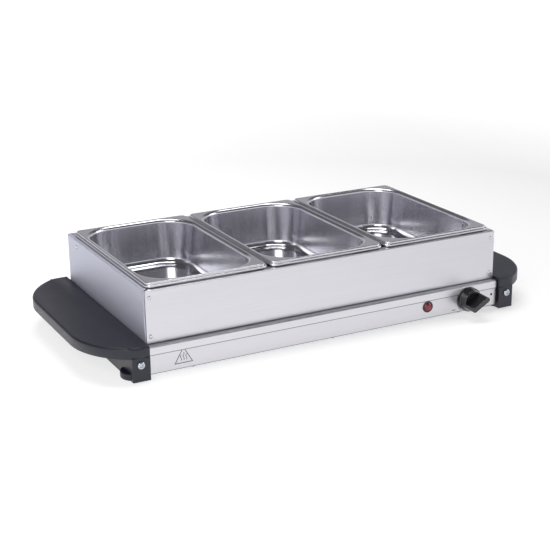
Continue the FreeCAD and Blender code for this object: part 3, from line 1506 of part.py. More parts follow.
make_hot_plate()
make_rails()
make_end_panels()
make_bottom_cover()
make_spreader()
make_element()
make_clamps()
make_insulation()
make_thermostat()
make_fuse()
make_lamp()
make_inlet()
make_terminal_block()
make_wires(make_earth())
make_handle()
make_brackets()
make_handle_screws()
make_feet()
make_knob()
make_spindle()
make_long_panel(-1, "rack_front_panel")
make_long_panel(1, "rack_rear_panel")
make_rack_ends()
make_cross_bars()
make_rack_rivets()
for pan_column, pan_name in ((-1, "pan_left"), (0, "pan_middle"), (1, "pan_right")):
    make_pan(pan_column, pan_name)
doc.recompute()

for thing in doc.Objects:
    if "Invalid" in thing.State or "Error" in thing.State:
        raise RuntimeError(f"{thing.Name} ({thing.Label}) failed: {thing.State}")
for thing in nodes:
    if thing.Shape.isNull() or not thing.Shape.isValid():
        raise RuntimeError(f"{thing.Label} has no valid shape")

os.makedirs("parts", exist_ok=True)
for thing in nodes:
    thing.Shape.exportStep(f"parts/{thing.Label}.step")
    print(f"{thing.Label}: {len(thing.Shape.Solids)} solid(s), {thing.Shape.Volume:.1f} mm3")
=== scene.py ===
"""Electric buffet server: the visible pieces, their finishes and the studio round them.

Sizes are millimetres, turned to metres as each piece is laid down. +X is right, +Y is back
and +Z is up, with the origin on the table under the middle of the warming plate.
"""
import logging
import math
from collections.abc import Callable, Iterable, Sequence
from dataclasses import dataclass
from enum import Enum
from typing import Any

import bmesh
import bpy
from mathutils import Matrix, Vector


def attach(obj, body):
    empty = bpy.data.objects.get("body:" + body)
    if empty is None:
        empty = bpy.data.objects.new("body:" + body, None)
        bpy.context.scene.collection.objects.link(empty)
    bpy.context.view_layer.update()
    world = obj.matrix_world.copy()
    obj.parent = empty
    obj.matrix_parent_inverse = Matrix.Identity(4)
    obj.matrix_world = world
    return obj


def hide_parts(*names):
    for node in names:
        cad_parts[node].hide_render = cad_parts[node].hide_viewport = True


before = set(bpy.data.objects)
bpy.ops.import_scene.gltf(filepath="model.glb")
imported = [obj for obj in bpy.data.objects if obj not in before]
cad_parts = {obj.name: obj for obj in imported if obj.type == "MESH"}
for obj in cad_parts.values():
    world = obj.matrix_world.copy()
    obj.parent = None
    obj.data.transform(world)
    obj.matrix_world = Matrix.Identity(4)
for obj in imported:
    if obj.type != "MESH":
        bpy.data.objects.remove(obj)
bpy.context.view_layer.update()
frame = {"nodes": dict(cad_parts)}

MM = 0.001
SIDES = (-1, 1)
NEAR = 0.01
log = logging.getLogger("buffet_server")

Point = tuple[float, float, float]
Pair = tuple[float, float]
Tree = bpy.types.NodeTree
Socket = bpy.types.NodeSocket


# ---------------------------------------------------------------- finishes

def linear(code: str) -> tuple[float, float, float, float]:
    """Turn an sRGB hex colour into linear RGBA.

    Args:
        code: six hex digits after a hash.

    Returns:
        Linear red, green, blue and an alpha of one.
    """
    parts = [int(code[i:i + 2], 16) / 255 for i in (1, 3, 5)]
    red, green, blue = (
        part / 12.92 if part <= 0.04045 else ((part + 0.055) / 1.055) ** 2.4
        for part in parts
    )
    return red, green, blue, 1.0


def add_node(tree: Tree, kind: str, inputs: dict[Any, Any] | None = None,
             **settings: Any) -> bpy.types.Node:
    """Add a shader node with its settings and what goes into its sockets.

    Args:
        tree: the node tree that gets the node.
        kind: the node's type name.
        inputs: socket name or number, with a value or another node's output.
        settings: the node's own properties.

    Returns:
        The new node.
    """
    made = tree.nodes.new(kind)
    for name, value in settings.items():
        setattr(made, name, value)
    for socket, value in (inputs or {}).items():
        if isinstance(value, Socket):
            tree.links.new(value, made.inputs[socket])
        else:
            made.inputs[socket].default_value = value
    return made


def add_scaled(tree: Tree, value: Socket, by: float, onto: Any, clamp: bool = False) -> Socket:
    """Scale a value and add it onto another.

    Args:
        tree: the node tree.
        value: what is scaled.
        by: how much it is scaled.
        onto: what it is added to, a number or a socket.
        clamp: keep the sum between zero and one.

    Returns:
        The sum.
    """
    return add_node(tree, "ShaderNodeMath", {0: value, 1: by, 2: onto},
                    operation="MULTIPLY_ADD", use_clamp=clamp).outputs[0]


def add_mix(tree: Tree, share: Any, low: Any, high: Any) -> Socket:
    """Blend two colours.

    Args:
        tree: the node tree.
        share: how much of the second colour there is.
        low: the first colour.
        high: the second colour.

    Returns:
        The blend.
    """
    return add_node(tree, "ShaderNodeMix", {0: share, 6: low, 7: high},
                    data_type="RGBA").outputs[2]


@dataclass(frozen=True)
class Grain:
    """A fine pattern on a surface, as the size of one grain along X, Y and Z."""

    size: Point
    tone: float = 0.5
    gloss: float = 0.05
    relief: float = 0.01
    detail: float = 3.0


@dataclass(frozen=True)
class Layer:
    """A level below which a finish changes, such as a painted shadow line along a sheared edge, or
    a flat floor.
    """

    below: float
    soft: float
    # The colour below the level: on the plate and the rails, painted shadow.
    shade: str | None = None
    gloss: float = 0.0


@dataclass(frozen=True)
class Finish:
    """A surface: its colour, its gloss and up to two grains as its maker left them, and a layer
    that can paint a shadow line below a level.
    """

    name: str
    colour: str
    shade: str
    roughness: float
    metallic: float
    grains: tuple[Grain, ...]
    coat: float = 0.0
    coat_roughness: float = 0.1
    transmission: float = 0.0
    ior: float = 1.5
    sheen: float = 0.0
    layer: Layer | None = None

    def build(self) -> bpy.types.Material:
        """Make the material, or return it where it is made already.

        Returns:
            The Blender material.
        """
        known = bpy.data.materials.get(self.name)
        if known:
            return known
        material = bpy.data.materials.new(self.name)
        material.use_nodes = True
        material.diffuse_color = linear(self.colour)
        tree = material.node_tree
        shader = next(n for n in tree.nodes if n.type == "BSDF_PRINCIPLED")
        constants = {"Metallic": self.metallic, "Coat Weight": self.coat,
                     "Coat Roughness": self.coat_roughness,
                     "Transmission Weight": self.transmission, "Sheen Weight": self.sheen}
        if not self.metallic:
            constants["IOR"] = self.ior
        for socket, value in constants.items():
            shader.inputs[socket].default_value = value
        self.dress(tree, shader)
        return material

    def dress(self, tree: Tree, shader: bpy.types.Node) -> None:
        """Lay the colour, the gloss and the relief of the grains into the shader.

        Args:
            tree: the material's node tree.
            shader: its principled shader.
        """
        place = add_node(tree, "ShaderNodeTexCoord").outputs["Object"]
        tone: Any = 0.5
        gloss: Any = self.roughness
        relief = None
        for grain in self.grains:
            scale = tuple(1 / (MM * side) for side in grain.size)
            laid = add_node(tree, "ShaderNodeMapping",
                            {"Vector": place, "Scale": scale}, vector_type="POINT")
            value = add_node(tree, "ShaderNodeTexNoise",
                             {"Vector": laid.outputs[0], "Scale": 1.0,
                              "Detail": grain.detail, "Roughness": 0.6}).outputs[0]
            about = add_node(tree, "ShaderNodeMath", {0: value, 1: 0.5},
                             operation="SUBTRACT").outputs[0]
            tone = add_scaled(tree, about, grain.tone, tone)
            gloss = add_scaled(tree, about, grain.gloss * 2, gloss, True)
            if grain.relief:
                bumped = {"Height": value, "Distance": grain.relief * MM, "Strength": 1.0}
                if relief:
                    bumped["Normal"] = relief
                relief = add_node(tree, "ShaderNodeBump", bumped).outputs[0]
        colour = add_mix(tree, tone, linear(self.shade), linear(self.colour))
        if self.layer:
            low = self.low_share(tree, place)
            gloss = add_scaled(tree, low, self.layer.gloss, gloss, True)
            # Below the level the colour turns to the layer's shade, a painted shadow line on the
            # plate and the rails.
            if self.layer.shade:
                colour = add_mix(tree, low, colour, linear(self.layer.shade))
        tree.links.new(colour, shader.inputs["Base Color"])
        tree.links.new(gloss, shader.inputs["Roughness"])
        if relief:
            tree.links.new(relief, shader.inputs["Normal"])

    def low_share(self, tree: Tree, place: Socket) -> Socket:
        """Add a share that is one below the layer's level and none above it.

        Args:
            tree: the material's node tree.
            place: the object coordinates.

        Returns:
            The share.
        """
        level, soft = self.layer.below * MM, self.layer.soft * MM
        height = add_node(tree, "ShaderNodeSeparateXYZ", {0: place}).outputs["Z"]
        return add_node(tree, "ShaderNodeMapRange",
                        {"Value": height, "From Min": level - soft, "From Max": level + soft,
                         "To Min": 1.0, "To Max": 0.0}).outputs[0]


@dataclass(frozen=True)
class LensFinish(Finish):
    """A coloured lens with a painted glow over the bulb and painted shade at its rim."""

    axis_x: float = 146.0
    axis_z: float = 22.8
    radius: float = 7.4
    # Share of the radius that keeps the full painted glow.
    painted_glow_part: float = 0.35

    def dress(self, tree: Tree, shader: bpy.types.Node) -> None:
        """Grade the colour from a painted glow at the lens's axis to painted shade at its rim.

        Args:
            tree: the material's node tree.
            shader: its principled shader.
        """
        super().dress(tree, shader)
        place = add_node(tree, "ShaderNodeTexCoord").outputs["Object"]
        middle = (self.axis_x * MM, 0.0, self.axis_z * MM)
        flat = add_node(tree, "ShaderNodeVectorMath", {0: place, 1: middle},
                        operation="SUBTRACT").outputs[0]
        flat = add_node(tree, "ShaderNodeVectorMath", {0: flat, 1: (1.0, 0.0, 1.0)},
                        operation="MULTIPLY").outputs[0]
        reach = add_node(tree, "ShaderNodeVectorMath", {0: flat}, operation="LENGTH")
        # Painted glow at the middle, turning to painted shade towards the rim.
        share = add_node(tree, "ShaderNodeMapRange",
                         {"Value": reach.outputs["Value"],
                          "From Min": self.radius * self.painted_glow_part * MM,
                          "From Max": self.radius * MM}, interpolation_type="SMOOTHSTEP")
        painted_glow = add_mix(tree, share.outputs[0], linear(self.colour), linear(self.shade))
        tree.links.new(painted_glow, shader.inputs["Base Color"])


def even(side: float, tone: float, gloss: float, relief: float, detail: float) -> Grain:
    """Return a grain of one size all ways."""
    return Grain((side, side, side), tone, gloss, relief, detail)


# Cold-rolled 430 stainless sheet, brushed with a fine belt: long straight hair lines that
# blur what it mirrors. The real lines are 0.1 mm apart, drawn at 0.9 mm so that they show.
BRUSH_LONG, BRUSH_FINE = 90.0, 0.9
DRIFT_LONG, DRIFT_WIDE = 260.0, 40.0


def brushed(name: str, along: str, colour: str, shade: str, roughness: float,
            layer: Layer | None = None) -> Finish:
    """Return a brushed stainless finish with its hair lines along one axis.

    Args:
        name: the material's name.
        along: the axis that the belt ran along, x, y or z.
        colour: the bright tone.
        shade: the dark tone.
        roughness: how far the hair lines blur.
        layer: a level below which it changes.

    Returns:
        The finish.
    """
    lines = tuple(BRUSH_LONG if axis == along else BRUSH_FINE for axis in "xyz")
    drift = tuple(DRIFT_LONG if axis == along else DRIFT_WIDE for axis in "xyz")
    return Finish(name, colour, shade, roughness, 1.0,
                  (Grain(lines, 0.7, 0.06, 0.004), Grain(drift, 0.35, 0.02, 0.0, 1.0)),
                  layer=layer)


# The plate's lower edge is sheared, not brushed; its thin dark line is painted shadow under the
# band, with the sheared edge's duller tone.
PLATE_BRUSHED = brushed("brushed_stainless_plate", "x", "#DEDEE1", "#C6C6CB", 0.30,
                        Layer(31.9, 0.25, "#77777C", 0.1))
RACK_LONG_BRUSHED = brushed("brushed_stainless_rack_long", "x", "#DCDBDF", "#C9C8CE", 0.32)
RACK_END_BRUSHED = brushed("brushed_stainless_rack_end", "y", "#D6D7E3", "#C0C1CD", 0.58)

# Deep-drawn 201 stainless, tumbled after the press: a soft satin with faint draw marks
# that run down the walls, a slow unevenness of the sheet, and a floor that the punch left
# nearly as bright as the rolled sheet.
PAN_DRAWN = Finish("drawn_stainless_pan", "#D9D9DD", "#C7C6CC", 0.22, 1.0,
                   (Grain((9.0, 9.0, 120.0), 0.5, 0.03, 0.0, 1.0),
                    even(60.0, 0.3, 0.02, 0.04, 0.0)), layer=Layer(59.0, 3.0, gloss=-0.11))

# Moulded black polypropylene with a spark-eroded skin: matte, with a fine pebble. The
# pebble is 0.3 mm on such mouldings, drawn at 1.1 mm so that it shows.
HANDLE_MOULDED = Finish("moulded_black_polypropylene", "#20202F", "#171724", 0.42, 0.0,
                        (even(1.1, 0.5, 0.08, 0.02, 2.0), even(30.0, 0.4, 0.05, 0.0, 2.0)))

# Moulded black ABS from a polished tool: darker, with a clear satin shine.
KNOB_MOULDED = Finish("moulded_black_abs", "#16161C", "#0F0F14", 0.26, 0.0,
                      (even(3.0, 0.4, 0.06, 0.004, 2.0),), coat=0.5)

# Blue zinc plate on pressed steel screws: bright, slightly blue, in small crystals.
ZINC_PLATED = Finish("blue_zinc_plate", "#D3D7DE", "#9FA6B4", 0.22, 1.0,
                     (even(1.4, 1.2, 0.10, 0.01, 2.0),))

# Pulled aluminium blind rivets, tumbled: dull and pale.
RIVET_ALUMINIUM = Finish("tumbled_aluminium_rivet", "#E6E6EC", "#A8A8B0", 0.18, 1.0,
                         (even(1.0, 0.9, 0.10, 0.01, 2.0),))

# Earth rivet: a small dark metal dot with a dull shine, much darker than the rack rivets.
RIVET_DARK_DOT = Finish("dark_rivet_dot", "#3B3B41", "#26262B", 0.40, 1.0,
                         (even(1.0, 0.6, 0.10, 0.01, 2.0),))

# Screen-printed two-part epoxy ink: a dark film with soft edges.
PRINT_INK = Finish("black_epoxy_print", "#2B2B30", "#38383E", 0.45, 0.0,
                   (even(0.8, 0.6, 0.1, 0.0, 2.0),))

# Black-oxide steel strip of the handle brackets: dark, with a low oily shine.
BRACKET_OXIDE = Finish("black_oxide_strip", "#2C2C31", "#1E1E22", 0.50, 1.0,
                       (even(2.5, 0.8, 0.1, 0.01, 2.0),))

# Polyamide bushing and lamp holder: slightly waxy black.
POLYAMIDE = Finish("moulded_polyamide", "#242428", "#1A1A1E", 0.42, 0.0,
                   (even(1.8, 0.5, 0.08, 0.01, 2.0),))

# Injection-moulded red polycarbonate with a hard gloss; its glowing centre is painted light and
# its dark rim painted shade.
LENS_RED = LensFinish("moulded_red_polycarbonate", "#86192A", "#300610", 0.26, 0.0,
                      (even(4.0, 1.3, 0.04, 0.02, 1.0),), coat=0.05, transmission=0.1, ior=1.58)

# Braided silicone-glass sleeves over the wires: matte, with a weave of about 1.2 mm.
SLEEVE_WEAVE = even(1.2, 1.2, 0.1, 0.15, 1.0)

SLOT_FINISHES = {
    "plate_steel": PLATE_BRUSHED,
    "rack_steel": RACK_LONG_BRUSHED,
    "pan_steel": PAN_DRAWN,
    "handle_plastic": HANDLE_MOULDED,
    "knob_plastic": KNOB_MOULDED,
    "lamp_lens": LENS_RED,
    "lamp_holder_plastic": POLYAMIDE,
    "bushing_plastic": POLYAMIDE,
    "screw_steel": ZINC_PLATED,
    "rivet_steel": RIVET_ALUMINIUM,
    "sleeve_brown": Finish("sleeve_brown", "#6B4228", "#4F2F1B", 0.6, 0.0, (SLEEVE_WEAVE,)),
    "sleeve_blue": Finish("sleeve_blue", "#2C5FA8", "#1F4680", 0.6, 0.0, (SLEEVE_WEAVE,)),
    "sleeve_green_yellow": Finish("sleeve_green_yellow", "#C9C23A", "#2F7F3C", 0.6, 0.0,
                                  (even(3.0, 4.0, 0.1, 0.1, 0.0),)),
    # The same brushed sheet, with a painted shadow line along the rails' sheared lower edge.
    "tray_steel": brushed("brushed_stainless_rail", "x", "#D9D8DC", "#C8C7CC", 0.32,
                          Layer(7.2, 0.25, "#7E7E84", 0.1)),
    # Unpolished strip under the rims: the same sheet, left dull and painted dark as the shade
    # under the rims.
    "rack_strip_steel": brushed("brushed_stainless_strip_painted_shade", "y", "#7C7C82", "#66666C", 0.42),
    # Moulded nitrile rubber feet: dull black with a faint bloom.
    "foot_rubber": Finish("moulded_nitrile_rubber", "#26262A", "#1A1A1D", 0.75, 0.0,
                          (even(1.5, 0.8, 0.1, 0.04, 3.0),), sheen=0.15),
    # Hot-dip galvanised sheet: grey with large zinc spangles.
    "galvanised_steel": Finish("galvanised_sheet", "#A9ADB2", "#83878D", 0.42, 1.0,
                               (even(9.0, 1.6, 0.2, 0.01, 0.0),
                                even(1.5, 0.4, 0.1, 0.005, 2.0))),
    # Bright-zinc strip for clips and tags.
    "zinc_steel": Finish("zinc_plated_strip", "#B9BCC2", "#8F939B", 0.35, 1.0,
                         (even(2.5, 0.8, 0.1, 0.01, 2.0),)),
    # Mill-finish 1050 aluminium sheet: soft white metal with rolling lines.
    "spreader_aluminium": Finish("mill_finish_aluminium", "#C9CACC", "#AFB0B3", 0.34, 1.0,
                                 (Grain((60.0, 1.2, 1.2), 0.8, 0.08, 0.005),)),
    # Annealed stainless sheath of the element: straw to blue heat tint.
    "element_steel": Finish("annealed_element_sheath", "#8C8276", "#5B5A66", 0.40, 1.0,
                            (even(14.0, 1.6, 0.15, 0.0, 2.0), even(1.2, 0.4, 0.1, 0.01, 2.0))),
    # Turned brass terminals, dulled by handling.
    "terminal_brass": Finish("turned_brass", "#B99B58", "#8E7440", 0.32, 1.0,
                             (Grain((0.8, 4.0, 0.8), 0.9, 0.1, 0.01, 2.0),)),
    # Pressed mineral wool: pale yellow-grey tangled fibres.
    "mineral_wool": Finish("pressed_mineral_wool", "#B5AC8C", "#8B8468", 0.95, 0.0,
                           (Grain((6.0, 1.4, 1.4), 1.4, 0.05, 0.5),
                            Grain((1.4, 6.0, 1.4), 1.0, 0.05, 0.4)), sheen=0.3),
    # Steatite ceramic of the thermostat and the terminal block: chalky off-white.
    "thermostat_ceramic": Finish("pressed_steatite", "#E4DFD2", "#CFC9BA", 0.55, 0.0,
                                 (even(2.0, 0.8, 0.1, 0.03, 3.0),)),
    # Anodised fuse can: warm pale metal.
    "fuse_casing": Finish("anodised_fuse_can", "#C9B58E", "#AB9870", 0.30, 1.0,
                          (even(1.0, 0.6, 0.1, 0.005, 2.0),)),
    # Soda-lime glass of the neon bulb, with a faint orange from its gas.
    "neon_glass": Finish("neon_bulb_glass", "#F4D9C6", "#E9B48C", 0.05, 0.0,
                         (even(3.0, 0.5, 0.02, 0.0, 1.0),), transmission=0.85),
}


# ---------------------------------------------------------------- the bench

# Edges sharper than these, in degrees, stay crisp when a piece is shaded.
CRISP_FINE, CRISP, CRISP_SHEET = 30, 35, 40
# Heads of screws and rivets start this far inside the sheet that they hold.
HEAD_SINK = 0.3
MERGE_SHARE = 0.001

class Part(Enum):
    """What an edit-mode selection is made of."""

    POINT = "VERT"
    EDGE = "EDGE"
    FACE = "FACE"


class Axis(Enum):
    """A direction that a turned piece can face."""

    FRONT = (math.pi / 2, 0.0, 0.0)
    UP = (0.0, 0.0, 0.0)


class Workpiece:
    """One mesh on the bench, shaped with edit-mode operators in millimetres."""

    def __init__(self, name: str, empty: bool = False) -> None:
        """Start in edit mode with a single point at the origin.

        Args:
            name: the finished piece's name.
            empty: start without the point.
        """
        bpy.ops.object.select_all(action="DESELECT")
        bpy.ops.mesh.primitive_plane_add(size=MM)
        self.shape = bpy.context.object
        self.shape.name = self.shape.data.name = name
        bpy.ops.object.mode_set(mode="EDIT")
        bpy.ops.mesh.select_mode(type="VERT")
        self.whole()
        bpy.ops.mesh.merge(type="CENTER")
        if empty:
            self.whole()
            bpy.ops.mesh.delete(type="VERT")

    def whole(self) -> None:
        """Select the whole mesh."""
        bpy.ops.mesh.select_all(action="SELECT")

    def none(self) -> None:
        """Select nothing."""
        bpy.ops.mesh.select_all(action="DESELECT")

    def mesh(self) -> bmesh.types.BMesh:
        """Return the edit mesh, with its tables ready."""
        made = bmesh.from_edit_mesh(self.shape.data)
        made.verts.ensure_lookup_table()
        return made

    def pick(self, part: Part, test: Callable[[Vector, Any], bool]) -> None:
        """Select by place, leaving the rest unselected.

        Args:
            part: points, edges or faces.
            test: says yes to a middle, in millimetres, and its element.
        """
        self.none()
        bpy.ops.mesh.select_mode(type=part.value)
        made = self.mesh()
        items = {Part.POINT: made.verts, Part.EDGE: made.edges, Part.FACE: made.faces}[part]
        for item in items:
            points = [item.co] if part is Part.POINT else [v.co for v in item.verts]
            middle = sum(points, Vector()) / len(points) / MM
            if test(middle, item):
                item.select_set(True)
        made.select_flush_mode()
        bmesh.update_edit_mesh(self.shape.data)

    def take(self, numbers: Iterable[int]) -> None:
        """Select points by their numbers, leaving the rest unselected."""
        self.none()
        made = self.mesh()
        for number in numbers:
            made.verts[number].select_set(True)
        made.select_flush(True)
        bmesh.update_edit_mesh(self.shape.data)

    def chosen(self) -> list[int]:
        """Return the numbers of the selected points."""
        return [v.index for v in self.mesh().verts if v.select]

    def pull(self, x: float = 0.0, y: float = 0.0, z: float = 0.0) -> None:
        """Extrude what is selected by a distance."""
        shift = {"value": (x * MM, y * MM, z * MM)}
        bpy.ops.mesh.extrude_region_move(TRANSFORM_OT_translate=shift)

    def move(self, x: float = 0.0, y: float = 0.0, z: float = 0.0) -> None:
        """Move what is selected."""
        bpy.ops.transform.translate(value=(x * MM, y * MM, z * MM))

    def size(self, x: float, y: float, z: float, about: Point = (0.0, 0.0, 0.0)) -> None:
        """Scale what is selected about a point."""
        bpy.ops.transform.resize(value=(x, y, z), center_override=Vector(about) * MM)

    def inset(self, by: float) -> None:
        """Inset the selected faces."""
        bpy.ops.mesh.inset(thickness=by * MM)

    def bevel(self, radius: float, steps: int, points: bool = False) -> None:
        """Round the selected edges, or corners where points is true."""
        bpy.ops.mesh.bevel(offset=radius * MM, segments=steps, profile=0.5,
                           affect="VERTICES" if points else "EDGES")

    def fill(self) -> None:
        """Close the selected outline with an edge or a face."""
        bpy.ops.mesh.edge_face_add()

    def walk(self, points: Iterable[Point]) -> None:
        """Draw a line of edges on from the selected point.

        Args:
            points: the places that it goes through, in order.
        """
        here = Vector(self.mesh().verts[self.chosen()[0]].co) / MM
        for point in points:
            self.pull(*(Vector(point) - here))
            here = Vector(point)

    def turn(self, profile: Sequence[Pair], steps: int) -> None:
        """Spin a profile about the upright axis into a closed turned shape.

        Args:
            profile: radius and height of each point, from one pole to the other.
            steps: how many facets the turn has.
        """
        (radius, height), *rest = profile
        self.whole()
        self.move(radius, 0.0, height)
        self.walk((r, 0.0, h) for r, h in rest)
        self.whole()
        bpy.ops.mesh.spin(steps=steps, angle=math.tau, center=(0.0, 0.0, 0.0),
                          axis=(0.0, 0.0, 1.0), use_normal_flip=False)
        self.tidy()

    def block(self, low: Point, high: Point) -> None:
        """Add a block between two corners to the mesh being edited."""
        low, high = Vector(low), Vector(high)
        middle, sides = (low + high) / 2, high - low
        bpy.ops.mesh.primitive_cube_add(size=1.0, location=middle * MM, scale=sides * MM)

    def tidy(self) -> None:
        """Merge doubles and turn every face outwards."""
        self.whole()
        bpy.ops.mesh.remove_doubles(threshold=MM * MERGE_SHARE)
        bpy.ops.mesh.normals_make_consistent(inside=False)

    def agree(self, key: Callable[[Any], float], toward: Callable[[Any], float]) -> None:
        """Turn the faces of an open skin one way.

        Args:
            key: is largest for the face that decides.
            toward: is positive where that face looks the right way.
        """
        self.whole()
        bpy.ops.mesh.normals_make_consistent(inside=False)
        if toward(max(self.mesh().faces, key=key)) < 0:
            bpy.ops.mesh.flip_normals()

    def leave(self) -> None:
        """Go back to object mode."""
        if self.shape.mode == "EDIT":
            bpy.ops.object.mode_set(mode="OBJECT")

    def hold(self) -> None:
        """Leave edit mode and make this the one selected object."""
        self.leave()
        bpy.ops.object.select_all(action="DESELECT")
        self.shape.select_set(True)
        bpy.context.view_layer.objects.active = self.shape

    def modify(self, kind: str, **settings: Any) -> None:
        """Add a modifier and apply it.

        Args:
            kind: the modifier's type name.
            settings: its properties.
        """
        self.leave()
        made = self.shape.modifiers.new(kind.lower(), kind)
        for name, value in settings.items():
            setattr(made, name, value)
        bpy.context.view_layer.objects.active = self.shape
        bpy.ops.object.modifier_apply(modifier=made.name)

    def thicken(self, sheet: float) -> None:
        """Give an open skin its sheet thickness, on its inner side."""
        self.modify("SOLIDIFY", thickness=sheet * MM, offset=-1.0, use_even_offset=True)

    def soften(self, width: float, steps: int, angle: float, flat: float) -> None:
        """Round every edge sharper than an angle, then shade.

        Args:
            width: how far the rounding reaches.
            steps: how many facets it has.
            angle: the angle, in degrees.
            flat: edges sharper than this stay crisp when shaded.
        """
        self.modify("BEVEL", width=width * MM, segments=steps, limit_method="ANGLE",
                    angle_limit=math.radians(angle))
        self.smooth(flat)

    def lay(self, axis: Axis = Axis.UP, place: Point = (0.0, 0.0, 0.0)) -> None:
        """Turn the finished mesh to its axis and put it in its place."""
        self.hold()
        self.shape.rotation_euler = axis.value
        self.shape.location = Vector(place) * MM
        bpy.ops.object.transform_apply(location=True, rotation=True, scale=True)

    def smooth(self, angle: float) -> None:
        """Shade curves smooth, and keep edges sharper than an angle in degrees crisp."""
        self.hold()
        bpy.ops.object.shade_smooth_by_angle(angle=math.radians(angle))
        self.modify("WEIGHTED_NORMAL", keep_sharp=True)

    def copy(self, name: str, matrix: Matrix) -> "Workpiece":
        """Copy the piece with its own mesh, placed by a matrix in metres.

        Args:
            name: the copy's name.
            matrix: where the copy goes.

        Returns:
            The copy.
        """
        twin = object.__new__(Workpiece)
        twin.shape = self.shape.copy()
        twin.shape.data = self.shape.data.copy()
        twin.shape.name = twin.shape.data.name = name
        bpy.context.scene.collection.objects.link(twin.shape)
        twin.shape.data.transform(matrix)
        if matrix.determinant() < 0:
            twin.shape.data.flip_normals()
        return twin

    def finish(self, body: str, slot: str, finish: Finish, *nodes: str) -> None:
        """Dress the piece and tie it to its body.

        Args:
            body: the body that it rides on.
            slot: the record's material slot; not used.
            finish: its finish.
            nodes: the CAD nodes that it stands for.
        """
        self.leave()
        self.shape.data.materials.clear()
        self.shape.data.materials.append(finish.build())
        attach(self.shape, body)
        if nodes:
            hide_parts(*nodes)
        log.info("%s: %d faces on %s", self.shape.name, len(self.shape.data.polygons), body)


def arc(centre: Pair, radius: float, start: float, end: float, steps: int) -> list[Pair]:
    """Return points along an arc.

    Args:
        centre: the arc's middle.
        radius: its radius.
        start: first angle in degrees.
        end: last angle in degrees.
        steps: how many chords it has.

    Returns:
        The points, both ends included.
    """
    angles = [math.radians(start + (end - start) * i / steps) for i in range(steps + 1)]
    return [(centre[0] + radius * math.cos(a), centre[1] + radius * math.sin(a)) for a in angles]


def anything(middle: Vector, item: Any) -> bool:
    """Say yes to every element."""
    return True


# ---------------------------------------------------------------- food pans

